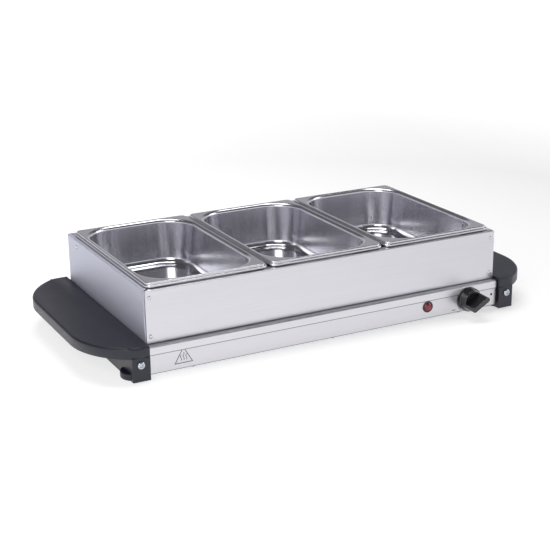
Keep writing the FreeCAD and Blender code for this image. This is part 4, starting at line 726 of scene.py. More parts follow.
@dataclass
class FoodPan:
    """A deep-drawn pan: a stepped rim, a soft-cornered bowl and a flat floor."""

    width: float = 168.0
    length: float = 266.0
    corner: float = 9.5
    rim: float = 6.0
    step: float = 2.5
    step_drop: float = 2.7
    bend: float = 1.0
    root: float = 0.4
    flange: float = 8.0
    opening_corner: float = 44.0
    mouth_round: float = 5.0
    mouth_reach: float = 1.4
    lip_raise: float = 0.9
    depth: float = 63.0
    draft: float = 5.0
    sheet: float = 0.7
    floor_round: float = 10.5
    floor_crown: float = 0.2
    crown_shares: Pair = (0.6, 0.4)
    floor_inset: float = 7.0
    crown_step: float = 8.0
    top: float = 117.8
    middle_y: float = -2.0
    pitch: float = 170.5
    corner_steps: int = 14

    def rim_profile(self) -> list[Pair]:
        """Return the rim's inset from its outline and its height, from the lip inwards."""
        shelf = self.top - self.step_drop
        lip = self.top - self.rim + self.lip_raise
        return [
            (0.0, lip),
            *arc((self.bend, shelf - self.bend), self.bend, 180, 90, 5),
            *arc((self.step - self.root, shelf + self.root), self.root, -90, 0, 3),
            *arc((self.step + self.bend, self.top - self.bend), self.bend, 180, 90, 5),
        ]

    def bowl_profile(self) -> list[Pair]:
        """Return the bowl's inset from its opening and its height, from the mouth down."""
        soft = self.mouth_round
        mouth = arc((self.mouth_reach - soft, self.top - soft), soft, 90, self.draft, 9)
        inner = self.floor_round - self.sheet
        floor = self.top - self.depth + self.sheet
        draft = math.radians(self.draft)
        inset, height = mouth[-1]
        turn_height = floor + inner * (1 - math.sin(draft))
        turn_inset = inset + (height - turn_height) * math.tan(draft)
        centre = turn_inset + inner * math.cos(draft)
        heel = arc((centre, floor + inner), inner, 180 + self.draft, 270, 9)
        crown = [(centre + self.crown_step, floor),
                 (centre + self.crown_step * 2, floor + self.floor_crown * self.crown_shares[0])]
        return mouth + heel + crown

    def build(self) -> Workpiece:
        """Draw the sheet ring by ring, then give it its thickness.

        Returns:
            The middle pan.
        """
        piece = Workpiece("pan_middle_drawn", empty=True)
        wide, long = (side - self.flange * 2 for side in (self.width, self.length))
        rings = [(inset, height, self.corner - inset, self.width, self.length)
                 for inset, height in self.rim_profile()]
        rings += [(inset, height, self.opening_corner - inset, wide, long)
                  for inset, height in self.bowl_profile()]
        inset, height, radius, width, length = rings[0]
        bpy.ops.mesh.primitive_plane_add(size=1.0, location=(0.0, 0.0, height * MM))
        piece.size(width * MM, length * MM, 1.0, (0.0, 0.0, height))
        piece.bevel(radius, self.corner_steps, points=True)
        piece.pick(Part.FACE, anything)
        bpy.ops.mesh.delete(type="ONLY_FACE")
        piece.pick(Part.EDGE, anything)
        half = (width / 2 - radius, length / 2 - radius)
        for inset, level, new_radius, width, length in rings[1:]:
            new_half = (width / 2 - inset - new_radius, length / 2 - inset - new_radius)
            piece.pull(z=level - height)
            self.reshape(piece, half, new_radius / radius, new_half, level)
            half, radius, height = new_half, new_radius, level
        piece.fill()
        piece.inset(self.floor_inset)
        piece.move(z=self.floor_crown * self.crown_shares[1])
        piece.agree(lambda face: -face.calc_center_median().z, lambda face: face.normal.z)
        piece.thicken(self.sheet)
        piece.lay(place=(0.0, self.middle_y, 0.0))
        piece.smooth(CRISP_SHEET)
        return piece

    def reshape(self, piece: Workpiece, half: Pair, ratio: float, new_half: Pair,
                level: float) -> None:
        """Bring the selected ring to new corner centres and a new corner radius.

        Args:
            piece: the pan being drawn.
            half: the corner centres' distance from the middle, across and along.
            ratio: the corner radius wanted, over the radius now.
            new_half: the corner centres wanted.
            level: the ring's height.
        """
        ring = piece.chosen()
        for right in SIDES:
            for back in SIDES:
                points = piece.mesh().verts
                piece.take([number for number in ring if points[number].co.x * right > 0
                            and points[number].co.y * back > 0])
                piece.size(ratio, ratio, 1.0, (half[0] * right, half[1] * back, level))
                piece.move((new_half[0] - half[0]) * right, (new_half[1] - half[1]) * back)
        piece.take(ring)

    def place(self) -> None:
        """Make the three pans and lay them side by side."""
        middle = self.build()
        shift = Matrix.Translation((self.pitch * MM, 0.0, 0.0))
        left = middle.copy("pan_left_drawn", shift.inverted())
        right = middle.copy("pan_right_drawn", shift)
        for piece, body in ((left, "pan_left"), (middle, "pan_middle"), (right, "pan_right")):
            piece.finish(body, "pan_steel", PAN_DRAWN, body)


# ---------------------------------------------------------------- bent sheet pieces

@dataclass
class PanRack:
    """The lift-off rack: two long panels and two end panels, bent from sheet."""

    half_x: float = 260.0
    half_y: float = 141.0
    base: float = 42.8
    top: float = 111.5
    sheet: float = 0.8
    bend: float = 1.2
    flange: float = 12.0
    hem: float = 6.0
    seam: float = 1.4
    seam_gap: float = 1.7
    lap: float = 15.0
    edge_round: float = 0.15
    rivet_radius: float = 2.7
    rivet_head: float = 1.2
    rivet_x: float = 253.0
    rivet_levels: Pair = (52.3, 102.2)
    side_rivet: Pair = (103.0, 102.2)
    steps: int = 5

    def channel(self, name: str, half_run: float, face: float, flange_half: float,
                lap: float = 0.0) -> Workpiece:
        """Bend one panel that faces front: a web, an upper flange and a lower hem.

        Args:
            name: the piece's name.
            half_run: half the web's run along X.
            face: the web's outer face, as its distance in front of the middle.
            flange_half: half the upper flange's free edge.
            lap: how far its ends turn in behind the neighbouring panels.

        Returns:
            The panel, with its outer skin facing front and up.
        """
        piece = Workpiece(name)
        piece.whole()
        piece.move(-half_run, -face, self.top)
        piece.pull(x=half_run * 2)
        piece.whole()
        piece.pull(z=self.base - self.top)
        piece.pull(y=self.hem)
        piece.pick(Part.EDGE, lambda m, e: abs(m.z - self.top) < NEAR)
        piece.pull(y=self.flange)
        piece.size(flange_half / half_run, 1.0, 1.0)
        piece.pick(Part.POINT, lambda m, v: abs(m.z - self.base) < NEAR
                   and abs(m.y + face - self.hem) < NEAR)
        piece.size((half_run - self.hem) / half_run, 1.0, 1.0)
        for side in SIDES if lap else ():
            piece.pick(Part.EDGE, lambda m, e: abs(m.x - side * half_run) < NEAR
                       and abs(m.y + face) < NEAR)
            piece.pull(y=lap)
        piece.pick(Part.EDGE, lambda m, e: abs(m.y + face) < NEAR
                   and (lap or abs(m.x) < 1) and len(e.link_faces) == 2)
        piece.bevel(self.bend, self.steps)
        piece.agree(lambda f: f.calc_area(), lambda f: f.normal.xy.dot(f.calc_center_median().xy))
        piece.thicken(self.sheet)
        piece.soften(self.edge_round, steps=2, angle=60, flat=CRISP_SHEET)
        return piece

    def place(self) -> None:
        """Make the four panels and their rivets."""
        long_half = self.half_x - self.seam
        front = self.channel("rack_front_sheet", long_half, self.half_y,
                             long_half - self.flange + self.seam)
        about = Matrix.Rotation(math.pi, 4, "Z")
        rear = front.copy("rack_rear_sheet", about)
        end_half = self.half_y - self.sheet - self.seam_gap
        right = self.channel("rack_right_sheet", end_half, self.half_x,
                             end_half - self.flange, self.lap)
        right.shape.data.transform(Matrix.Rotation(math.pi / 2, 4, "Z"))
        left = right.copy("rack_left_sheet", about)
        for piece, name, finish in ((front, "front", RACK_LONG_BRUSHED),
                                    (rear, "rear", RACK_LONG_BRUSHED),
                                    (right, "right", RACK_END_BRUSHED),
                                    (left, "left", RACK_END_BRUSHED)):
            piece.finish("rack", "rack_steel", finish, f"rack_{name}_panel")
        self.rivets()

    def rivets(self) -> None:
        """Make one blind rivet head and copy it to every corner."""
        first = blind_rivet("rack_rivet", self.rivet_radius, self.rivet_head)
        numbers = iter(range(1, 9))
        places = []
        for side, hand in zip(SIDES, ("left", "right")):
            for end in SIDES:
                facing = Matrix.Rotation(math.pi / 2 * -end, 4, "X")
                for level in self.rivet_levels:
                    where = (side * self.rivet_x, end * self.half_y, level)
                    places.append((f"rack_rivet_{next(numbers)}", where, facing, "rack_rivets"))
            facing = Matrix.Rotation(math.pi / 2 * side, 4, "Y")
            places.append((f"rack_side_rivet_{hand}", (side * self.half_x, *self.side_rivet),
                           facing, "rack_side_rivets"))
        for name, where, facing, node in places:
            twin = first.copy(name, Matrix.Translation(Vector(where) * MM) @ facing)
            twin.finish("rack", "rivet_steel", RIVET_ALUMINIUM, node)
        bpy.data.objects.remove(first.shape)


def blind_rivet(name: str, radius: float, head: float, edge: float = 0.2,
                neck: Pair = (0.9, 0.94), steps: int = 6) -> Workpiece:
    """Turn a blind rivet's domed head.

    Args:
        name: the piece's name.
        radius: the head's radius.
        head: how far it stands out.
        edge: how much of that its edge is.
        neck: the neck's width inside the sheet and at it, as shares of the radius.
        steps: how many bands its dome has.

    Returns:
        The rivet, on the upright axis.
    """
    piece = Workpiece(name)
    angles = [math.pi / 2 * i / steps for i in range(steps)]
    dome = [(radius * math.cos(a), head * edge + head * (1 - edge) * math.sin(a))
            for a in angles]
    piece.turn([(0.0, -HEAD_SINK), (radius * neck[0], -HEAD_SINK), (radius * neck[1], 0.02),
                *dome, (0.0, head)], steps=28)
    piece.smooth(CRISP_SHEET)
    return piece


@dataclass
class LowerTray:
    """The warming plate with its turned-down band."""

    half_x: float = 260.5
    half_y: float = 150.3
    top: float = 42.5
    band: float = 11.6
    sheet: float = 0.8
    bend: float = 2.2
    corner: float = 2.0
    edge_round: float = 0.35

    def place(self) -> None:
        """Press the warming plate: a flat sheet whose four sides turn down."""
        piece = Workpiece("warming_plate_pressed", empty=True)
        bpy.ops.mesh.primitive_plane_add(size=1.0, location=(0.0, 0.0, self.top * MM))
        piece.size(self.half_x * 2 * MM, self.half_y * 2 * MM, 1.0, (0.0, 0.0, self.top))
        piece.bevel(self.corner, steps=6, points=True)
        piece.pick(Part.FACE, anything)
        piece.pull(z=-self.band)
        bpy.ops.mesh.delete(type="FACE")
        piece.agree(lambda face: face.calc_area(), lambda face: face.normal.z)
        piece.thicken(self.sheet)
        bpy.ops.object.mode_set(mode="EDIT")
        piece.pick(Part.EDGE, lambda m, e: abs(m.z - self.top) < NEAR
                   and len(e.link_faces) == 2
                   and min(f.normal.z for f in e.link_faces) < 0.5)
        piece.bevel(self.bend, steps=7)
        piece.soften(self.edge_round, steps=2, angle=60, flat=CRISP_SHEET)
        piece.finish("base", "plate_steel", PLATE_BRUSHED, "hot_plate")


# ---------------------------------------------------------------- handles

@dataclass
class EndHandle:
    """A moulded end handle: a bowed plate on a beam, with two foot cups."""

    inner: float = 260.8
    outer: float = 332.5
    half: float = 155.0
    top: float = 45.8
    edge: float = 13.8
    arc_radius: float = 99.0
    arc_rise: float = 87.0
    corner: float = 9.0
    round: float = 3.0
    wall: float = 3.0
    beam: float = 23.2
    base: float = 2.0
    beam_round: float = 1.5
    beam_lap: float = 1.0
    plate_edge: float = 0.5
    beam_edge: float = 0.6
    cut_play: float = 0.02
    cup_radius: float = 18.5
    cup_round: float = 2.0
    cup_edge: float = 0.8
    cup_height: float = 9.0
    cup_offset: float = 12.2
    cup_inset: float = 22.0
    foot_radius: float = 12.5
    foot_play: float = 0.2
    foot_seat: float = 6.0
    steps: int = 28

    def outline(self, piece: Workpiece, level: float) -> None:
        """Draw the plate's outline as a face: a straight middle between two swept arcs.

        Args:
            piece: the piece being edited.
            level: its height.
        """
        straight = self.half - self.arc_rise
        centre_x = self.outer - self.arc_radius
        sweep = math.asin(self.arc_rise / self.arc_radius)
        points = [(centre_x + self.arc_radius * math.cos(a),
                   -straight + self.arc_radius * math.sin(a), level)
                  for a in (-sweep * i / self.steps for i in range(self.steps, -1, -1))]
        mirrored = [(x, -y, z) for x, y, z in reversed(points)]
        ring = [(self.inner, -self.half, level), *points, *mirrored,
                (self.inner, self.half, level)]
        piece.none()
        bpy.ops.mesh.primitive_plane_add(size=MM, location=Vector(ring[0]) * MM)
        bpy.ops.mesh.merge(type="CENTER")
        start = piece.chosen()[0]
        piece.walk(ring[1:])
        piece.take([start, piece.chosen()[0]])
        piece.fill()
        piece.take(range(start, start + len(ring)))
        piece.fill()

    def plate(self) -> Workpiece:
        """Mould the right handle's plate.

        Returns:
            The plate.
        """
        piece = Workpiece("right_handle_moulding", empty=True)
        under = self.top - self.edge
        self.outline(piece, under)
        bpy.ops.mesh.select_mode(type="FACE")
        piece.pull(z=self.edge)
        piece.tidy()
        tip_x = self.outer - self.arc_radius + math.sqrt(
            self.arc_radius ** 2 - self.arc_rise ** 2)
        piece.pick(Part.EDGE, lambda m, e: abs(m.x - tip_x) < 0.1
                   and abs(abs(m.y) - self.half) < 0.1
                   and abs(e.verts[0].co.z - e.verts[1].co.z) > MM)
        piece.bevel(self.corner, steps=8)
        piece.pick(Part.EDGE, lambda m, e: abs(m.z - self.top) < NEAR
                   and m.x > self.inner + 0.1)
        piece.bevel(self.round, steps=6)
        piece.pick(Part.FACE, lambda m, f: f.normal.z < -0.9 and abs(m.z - under) < NEAR)
        piece.inset(self.wall)
        piece.pull(z=self.edge - self.wall)
        piece.soften(self.plate_edge, steps=2, angle=50, flat=CRISP)
        return piece

    def leg(self) -> Workpiece:
        """Mould the beam under the plate.

        Returns:
            The beam.
        """
        piece = Workpiece("right_handle_beam", empty=True)
        far = self.inner + self.beam
        under = self.top - self.edge
        high = under + self.beam_lap
        piece.block((self.inner, -self.half, self.base), (far, self.half, high))
        piece.pick(Part.EDGE, lambda m, e: abs(m.x - far) < NEAR
                   and abs(m.z - (self.base + high) / 2) < 1)
        piece.bevel(self.beam_round, steps=4)
        piece.pick(Part.FACE, lambda m, f: f.normal.z < -0.9)
        piece.inset(self.wall)
        piece.pull(z=under - self.base - self.wall)
        piece.soften(self.beam_edge, steps=3, angle=50, flat=CRISP)
        return piece

    def cup(self, end: int) -> Workpiece:
        """Turn a foot cup round the rubber foot.

        Args:
            end: front or back, as a sign.

        Returns:
            The cup.
        """
        piece = Workpiece("right_handle_cup_front" if end < 0 else "right_handle_cup_rear")
        top = self.base + self.cup_height
        seat = self.base + self.foot_seat
        bore = self.foot_radius + self.foot_play
        lip = arc((self.cup_radius - self.cup_round, self.base + self.cup_round),
                  self.cup_round, 0, -90, 5)
        piece.turn([(0.0, top), (self.cup_radius - self.cup_edge, top),
                    (self.cup_radius, top - self.cup_edge), *lip,
                    (bore, self.base), (bore, seat), (0.0, seat)], steps=56)
        piece.lay(place=(self.inner + self.cup_offset, end * (self.half - self.cup_inset), 0.0))
        bpy.ops.object.mode_set(mode="EDIT")
        piece.whole()
        bpy.ops.mesh.bisect(plane_co=((self.inner + self.cut_play) * MM, 0.0, 0.0),
                            plane_no=(1.0, 0.0, 0.0), use_fill=True, clear_inner=True)
        piece.smooth(CRISP)
        return piece

    def place(self) -> None:
        """Mould the right handle and mirror it to the left."""
        mirror = Matrix.Scale(-1, 4, (1, 0, 0))
        parts = [(self.plate(), "handle"), (self.leg(), "beam"), (self.cup(-1), "cup_front"),
                 (self.cup(1), "cup_rear")]
        for piece, name in parts:
            twin = piece.copy(f"left_{name}_moulding", mirror)
            piece.finish("base", "handle_plastic", HANDLE_MOULDED, "right_handle")
            twin.finish("base", "handle_plastic", HANDLE_MOULDED, "left_handle")


# ---------------------------------------------------------------- knob, lamp and marks

@dataclass
class Controls:
    """The thermostat knob, the pilot lamp's lens and the marks printed round them."""

    knob_x: float = 213.0
    lamp_x: float = 146.0
    level: float = 22.8
    face: float = -149.3
    gap: float = 2.2
    recess: float = 1.5
    skirt_radius: float = 17.0
    skirt_wall: float = 2.0
    skirt: float = 3.0
    face_radius: float = 14.4
    face_round: float = 1.4
    face_depth: float = 10.5
    depth: float = 29.0
    grip_half: float = 4.6
    grip_reach: float = 15.2
    grip_round: float = 3.9
    grip_angle: float = 30.0
    grip_taper: Pair = (0.985, 0.72)
    grip_edge: float = 0.45
    skirt_back: float = 0.4
    skirt_front: float = 0.5
    cone_inset: float = 1.1
    cone_lean: float = 15.0
    lens_radius: float = 8.0
    lens_flange: float = 1.2
    lens_dome: float = 5.6
    lens_rise: float = 2.6
    lens_steps: int = 7
    lens_back: float = 0.2
    lens_edge: Pair = (0.3, 0.7)
    lens_groove: Point = (0.6, 0.2, 0.25)

    def knob(self) -> None:
        """Turn the knob's skirt and cone, then raise its grip bar."""
        piece = Workpiece("control_knob_moulding")
        back, front = self.gap, self.gap + self.face_depth
        shoulder = back + self.skirt
        skirt, wall, soft = self.skirt_radius, self.skirt_wall, self.face_round
        piece.turn([(0.0, back + self.recess), (skirt - wall, back + self.recess),
                    (skirt - wall, back), (skirt - self.skirt_back, back),
                    (skirt, back + self.skirt_back), (skirt, shoulder - self.skirt_front),
                    (skirt - self.skirt_front, shoulder), (skirt - self.cone_inset, shoulder),
                    *arc((self.face_radius - soft, front - soft), soft, self.cone_lean, 90, 5),
                    (0.0, front)], steps=72)
        piece.smooth(CRISP_FINE)
        grip = Workpiece("control_knob_grip", empty=True)
        reach = self.grip_reach
        grip.block((-reach, -self.grip_half, shoulder), (reach, self.grip_half, back + self.depth))
        grip.pick(Part.EDGE, lambda m, e: abs(abs(m.x) - reach) < NEAR
                  and abs(abs(m.y) - self.grip_half) < NEAR)
        grip.bevel(self.grip_round, steps=7)
        grip.pick(Part.FACE, lambda m, f: f.normal.z > 0.9)
        grip.size(*self.grip_taper, 1.0)
        grip.soften(self.grip_edge, steps=2, angle=40, flat=CRISP)
        grip.shape.data.transform(Matrix.Rotation(math.radians(self.grip_angle), 4, "Z"))
        for made in (piece, grip):
            made.lay(Axis.FRONT, (self.knob_x, self.face, self.level))
            made.finish("knob", "knob_plastic", KNOB_MOULDED, "control_knob")

    def lens(self) -> None:
        """Turn the lens: a flange, a stepped dome and its back."""
        piece = Workpiece("lamp_lens_moulding")
        edge, flange = self.lens_radius, self.lens_flange
        dome, rise = self.lens_dome, self.lens_rise
        ball = (dome ** 2 + rise ** 2) / (2 * rise)
        top = flange + rise
        crown = [(ball * math.sin(a), top - ball * (1 - math.cos(a)))
                 for a in (math.asin(dome / ball) * i / self.lens_steps
                           for i in range(self.lens_steps, -1, -1))]
        back, (lift, land), (wide, narrow, deep) = self.lens_back, self.lens_edge, self.lens_groove
        piece.turn([(0.0, -back), (edge - wide, -back), (edge - back, 0.0), (edge, lift),
                    (edge - back, flange - lift), (edge - land, flange), (dome + wide, flange),
                    (dome + narrow, flange - deep), *crown], steps=56)
        piece.smooth(CRISP)
        piece.lay(Axis.FRONT, (self.lamp_x, self.face, self.level))
        piece.finish("base", "lamp_lens", LENS_RED, "indicator_lens")

    def place(self) -> None:
        """Make the knob, the lens and the printed marks."""
        self.knob()
        self.lens()
        FasciaMarks(self.knob_x, self.level, self.face).place()


@dataclass
class FasciaMarks:
    """Generic marks printed on the front rail, as thin films of ink."""

    knob_x: float
    level: float
    face: float
    film: float = 0.12
    film_share: float = 0.9
    scale_radius: float = 18.9
    scale_width: Pair = (0.5, 1.3)
    scale_angles: Pair = (231.0, -51.0)
    scale_steps: int = 64
    sign_x: float = -214.5
    sign_low: float = 13.4
    sign_side: float = 25.0
    sign_line: float = 0.9
    wave_low: float = 3.6
    wave_pitch: float = 3.6
    wave_line: float = 0.8
    wave_step: float = 0.9
    wave_points: tuple[int, int] = (13, 3)
    wave_sway: float = 0.8
    wave_turn: float = 0.8
    tick: Pair = (2.6, 0.45)
    tick_place: Pair = (189.0, 10.4)

    def ribbon(self, name: str, left: Sequence[Pair], right: Sequence[Pair] = ()) -> None:
        """Print one line of ink between two edges, or round an outline.

        Args:
            name: the piece's name.
            left: one edge's points, as X and Z, or the outline.
            right: the other edge's points, or none for an outline.
        """
        piece = Workpiece(name)
        piece.whole()
        (x, z), *rest = [*left, *reversed(right)]
        piece.move(x, self.face - self.film, z)
        piece.walk((x, self.face - self.film, z) for x, z in rest)
        piece.whole()
        piece.fill()
        if not right:
            piece.inset(self.sign_line)
            bpy.ops.mesh.delete(type="FACE")
        piece.whole()
        piece.pull(y=self.film * self.film_share)
        piece.tidy()
        piece.smooth(CRISP_FINE)
        piece.finish("base", "knob_plastic", PRINT_INK)

    def place(self) -> None:
        """Print the scale round the knob, the hot-surface pictogram and a tick."""
        start, end = self.scale_angles
        thin, thick = self.scale_width
        outer, inner = [], []
        for i in range(self.scale_steps + 1):
            share = i / self.scale_steps
            angle = math.radians(start + (end - start) * share)
            width = thin + (thick - thin) * share
            for edge, radius in ((outer, self.scale_radius + width / 2),
                                 (inner, self.scale_radius - width / 2)):
                edge.append((self.knob_x + radius * math.cos(angle),
                             self.level + radius * math.sin(angle)))
        self.ribbon("knob_scale_print", outer, inner)
        low, half = self.sign_low, self.sign_side / 2
        high = low + self.sign_side * math.sqrt(3) / 2
        self.ribbon("hot_surface_sign", [(self.sign_x - half, low), (self.sign_x, high),
                                         (self.sign_x + half, low)])
        tall, fewer = self.wave_points
        for number in (-1, 0, 1):
            wave_x = self.sign_x + number * self.wave_pitch
            levels = [low + self.wave_low + step * self.wave_step
                      for step in range(tall - fewer * abs(number))]
            sway = [wave_x + self.wave_sway * math.sin(step * self.wave_turn)
                    for step in range(len(levels))]
            self.ribbon(f"hot_surface_wave_{number + 2}",
                        [(x - self.wave_line / 2, z) for x, z in zip(sway, levels)],
                        [(x + self.wave_line / 2, z) for x, z in zip(sway, levels)])
        reach, line = self.tick
        tick_x, tick_z = self.tick_place
        ends = (tick_x - reach, tick_x + reach)
        self.ribbon("knob_tick_print", [(x, tick_z + line) for x in ends],
                    [(x, tick_z + line - line * 2) for x in ends])


# ---------------------------------------------------------------- screws and feet

@dataclass
class Fasteners:
    """The four handle screws and the earth rivet."""

    head_radius: float = 4.85
    head: float = 3.1
    head_edge: float = 0.35
    head_spin: Pair = (20.0, 35.0)
    neck_share: float = 0.6
    under_round: float = 0.2
    cross: float = 1.1
    span: float = 5.2
    cross_depth: float = 1.8
    x: float = 273.0
    half: float = 155.0
    level: float = 23.5
    earth_radius: float = 1.5
    earth_head: float = 0.7
    earth_place: Point = (251.5, -149.3, 22.8)

    def screw(self) -> Workpiece:
        """Turn a pan head and cut its cross recess.

        Returns:
            The screw head, on the upright axis.
        """
        piece = Workpiece("handle_screw_head")
        edge = self.head_radius
        low, high = self.head * self.head_edge, self.head * (1 - self.head_edge)
        dome = [(edge * math.cos(math.radians(a)), low + high * math.sin(math.radians(a)))
                for a in range(0, 90, 15)]
        piece.turn([(0.0, -HEAD_SINK), (edge * self.neck_share, -HEAD_SINK),
                    (edge - self.under_round, 0.0), *dome, (0.0, self.head)], steps=36)
        piece.leave()
        cutter = Workpiece("cross_cutter", empty=True)
        arm, span, low = self.cross / 2, self.span / 2, self.head - self.cross_depth
        cutter.block((-span, -arm, low), (span, arm, self.head + 1.0))
        cutter.block((-arm, -span, low), (arm, span, self.head + 1.0))
        cutter.leave()
        piece.modify("BOOLEAN", object=cutter.shape, operation="DIFFERENCE", solver="EXACT",
                     use_self=True)
        bpy.data.objects.remove(cutter.shape)
        piece.smooth(CRISP)
        return piece

    def place(self) -> None:
        """Copy the screw to the four ends of the handles, and set the earth rivet."""
        first = self.screw()
        for side, hand in zip(SIDES, ("left", "right")):
            for end, name in zip(SIDES, ("front", "rear")):
                facing = Matrix.Rotation(math.pi / 2 * -end, 4, "X")
                turned = self.head_spin[0] * side + self.head_spin[1] * end
                spin = Matrix.Rotation(math.radians(turned), 4, "Z")
                where = Vector((side * self.x, end * self.half, self.level)) * MM
                twin = first.copy(f"handle_screw_{hand}_{name}",
                                  Matrix.Translation(where) @ facing @ spin)
                twin.finish("base", "screw_steel", ZINC_PLATED, "handle_screws")
        bpy.data.objects.remove(first.shape)
        dot = blind_rivet("earth_rivet_head", self.earth_radius, self.earth_head)
        dot.lay(Axis.FRONT, self.earth_place)
        dot.finish("base", "rivet_steel", RIVET_DARK_DOT, "earth_rivet")


# ---------------------------------------------------------------- CAD nodes and studio

NODE_FINISHES = {
    "rack_left_panel": RACK_END_BRUSHED,
    "rack_right_panel": RACK_END_BRUSHED,
    "left_handle_bracket": BRACKET_OXIDE,
    "right_handle_bracket": BRACKET_OXIDE,
}


def dress_nodes(nodes: dict[str, bpy.types.Object]) -> None:
    """Give every CAD node its own finish, or else the finish of its slot.

    Args:
        nodes: the frame's nodes by name.
    """
    for name, node in sorted(nodes.items()):
        slot = next(m.name.split(".")[0] for m in node.data.materials if m)
        finish = NODE_FINISHES.get(name, SLOT_FINISHES[slot])
        for number in range(len(node.data.materials)):
            node.data.materials[number] = finish.build()
        log.info("%s: %s", name, finish.name)


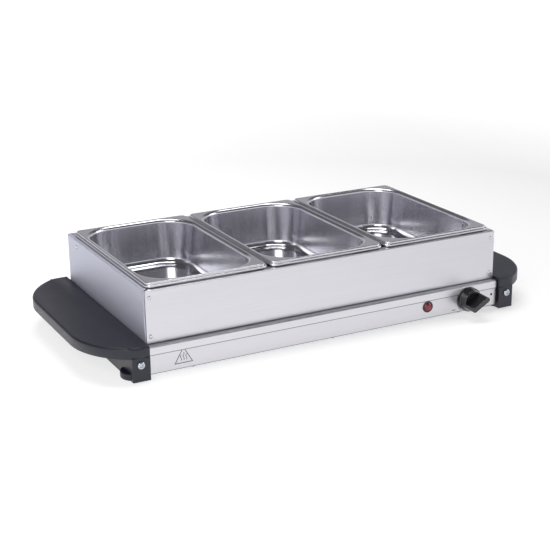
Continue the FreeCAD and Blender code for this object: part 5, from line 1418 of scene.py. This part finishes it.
@dataclass
class Studio:
    """A pale floor, soft boxes and the camera."""

    azimuth: float = -27.284
    elevation: float = 18.397
    roll: float = -0.746
    distance: float = 1821.0
    across: float = -8.8
    above: float = 46.6
    lens: float = 84.62
    sensor: float = 36.0
    floor_size: float = 24.0
    floor_drop: float = 0.0002
    sky_rear: tuple[Pair, ...] = (
        (0.0, 0.8), (0.2, 0.55), (0.34, 0.42), (0.42, 0.14), (1.0, 0.10))
    sky_front: tuple[Pair, ...] = (
        (0.0, 1.1), (0.31, 1.1), (0.40, 0.3), (0.52, 0.1), (1.0, 0.1))
    floor_glow: Pair = (0.74, 0.40)
    floor_glow_x: Pair = (-0.4, 0.8)
    floor_far: float = 1.15
    floor_far_reach: Pair = (0.9, 2.6)

    def camera(self) -> None:
        """Set the camera at its angle."""
        az, el, roll = (math.radians(a) for a in (self.azimuth, self.elevation, self.roll))
        back = Vector((math.sin(az) * math.cos(el), -math.cos(az) * math.cos(el), math.sin(el)))
        level = Vector((math.cos(az), math.sin(az), 0.0))
        rise = back.cross(level)
        right = math.cos(roll) * level + math.sin(roll) * rise
        up = -math.sin(roll) * level + math.cos(roll) * rise
        place = (right * self.across + up * self.above + back * self.distance) * MM
        data = bpy.data.cameras.new("studio_camera")
        data.lens = self.lens
        data.sensor_width = self.sensor
        data.clip_end = 100.0
        made = bpy.data.objects.new("studio_camera", data)
        made.matrix_world = Matrix((*((right[i], up[i], back[i], place[i]) for i in range(3)),
                                    (0.0, 0.0, 0.0, 1.0)))
        bpy.context.scene.collection.objects.link(made)
        bpy.context.scene.camera = made

    def floor(self) -> None:
        """Lay a plain pale floor under the feet."""
        bpy.ops.object.select_all(action="DESELECT")
        bpy.ops.mesh.primitive_plane_add(size=self.floor_size,
                                         location=(0.0, 0.0, -self.floor_drop))
        made = bpy.context.object
        made.name = "studio_floor"
        # Matte white paper: no gloss, and a glow that fades under the right end.
        paper = Finish("matte_white_paper", "#BDBDBD", "#B8B8B8", 0.9, 0.0,
                       (even(400.0, 0.4, 0.02, 0.0, 1.0),)).build()
        tree = paper.node_tree
        shader = next(n for n in tree.nodes if n.type == "BSDF_PRINCIPLED")
        place = add_node(tree, "ShaderNodeTexCoord").outputs["Object"]
        along = add_node(tree, "ShaderNodeSeparateXYZ", {0: place}).outputs["X"]
        reach = add_node(tree, "ShaderNodeVectorMath", {0: place}, operation="LENGTH")
        near = self.share(tree, along, self.floor_glow_x, *self.floor_glow)
        glow = self.share(tree, reach.outputs["Value"], self.floor_far_reach, near,
                          self.floor_far)
        shader.inputs["Emission Color"].default_value = (1.0, 1.0, 1.0, 1.0)
        tree.links.new(glow, shader.inputs["Emission Strength"])
        made.data.materials.append(paper)

    def share(self, tree: Tree, value: Socket, span: Pair, low: Any = 0.0,
              high: Any = 1.0) -> Socket:
        """Map a value's span onto another.

        Args:
            tree: the node tree.
            value: what is mapped.
            span: where it starts and ends.
            low: what the start becomes, a number or a socket.
            high: what the end becomes.

        Returns:
            The mapped value.
        """
        return add_node(tree, "ShaderNodeMapRange",
                        {"Value": value, "From Min": span[0], "From Max": span[1],
                         "To Min": low, "To Max": high}).outputs[0]

    def sky(self, tree: Tree, height: Socket, tones: Sequence[Pair]) -> Socket:
        """Add a ramp of greys from the horizon to the ceiling.

        Args:
            tree: the world's node tree.
            height: the socket that gives a direction's height.
            tones: each stop's height and grey.

        Returns:
            The ramp's colour.
        """
        ramp = add_node(tree, "ShaderNodeValToRGB", {0: height})
        stops = ramp.color_ramp.elements
        stops[0].position, stops[1].position = tones[0][0], tones[-1][0]
        for where, _ in tones[1:-1]:
            stops.new(where)
        for stop, (_, tone) in zip(stops, tones):
            stop.color = (tone, tone * 0.99, tone * 1.05, 1.0)
        return ramp.outputs[0]

    def world(self) -> None:
        """Set a white horizon under a darker ceiling, so that bright metal has both to show."""
        made = bpy.data.worlds.new("studio_world")
        bpy.context.scene.world = made
        made.use_nodes = True
        tree = made.node_tree
        shader = next(n for n in tree.nodes if n.type == "BACKGROUND")
        place = add_node(tree, "ShaderNodeTexCoord").outputs["Generated"]
        split = add_node(tree, "ShaderNodeSeparateXYZ", {0: place})
        rear, front = (self.sky(tree, split.outputs["Z"], stops)
                       for stops in (self.sky_rear, self.sky_front))
        side = self.share(tree, split.outputs["Y"], (0.5, -0.5))
        tree.links.new(add_mix(tree, side, rear, front), shader.inputs["Color"])
        shader.inputs["Strength"].default_value = 1.0

    def lamp(self, name: str, place: Point, aim: Point, size: Pair, power: float) -> None:
        """Hang one soft box.

        Args:
            name: the lamp's name.
            place: where it hangs, in metres.
            aim: what it points at, in metres.
            size: its width and height, in metres.
            power: its power in watts.
        """
        data = bpy.data.lights.new(name, "AREA")
        data.shape = "RECTANGLE"
        data.size, data.size_y = size
        data.energy = power
        made = bpy.data.objects.new(name, data)
        made.location = place
        aimed = Vector(aim) - Vector(place)
        made.rotation_euler = aimed.to_track_quat("-Z", "Y").to_euler()
        bpy.context.scene.collection.objects.link(made)

    def place(self) -> None:
        """Set the camera, the floor and the lights."""
        self.camera()
        self.floor()
        self.world()
        self.lamp("box_overhead", place=(0.2, 0.5, 2.2), aim=(0.0, 0.0, 0.1),
                  size=(1.6, 0.9), power=30.0)
        self.lamp("box_front_left", place=(-1.8, -1.8, 1.6), aim=(0.0, 0.0, 0.05),
                  size=(1.4, 1.4), power=24.0)
        self.lamp("box_right", place=(2.2, -0.6, 1.3), aim=(0.0, 0.0, 0.05),
                  size=(1.2, 1.2), power=14.0)
        view = bpy.context.scene.view_settings
        view.view_transform = "Standard"
        view.look = "None"


def main() -> None:
    """Build the buffet server in order."""
    logging.basicConfig(level=logging.INFO, format="%(message)s")
    dress_nodes(frame["nodes"])
    for assembly in (Studio(), LowerTray(), PanRack(), FoodPan(), EndHandle(), Controls(),
                     Fasteners()):
        assembly.place()
        log.info("%s is in place", type(assembly).__name__)


if __name__ == "__main__":
    main()
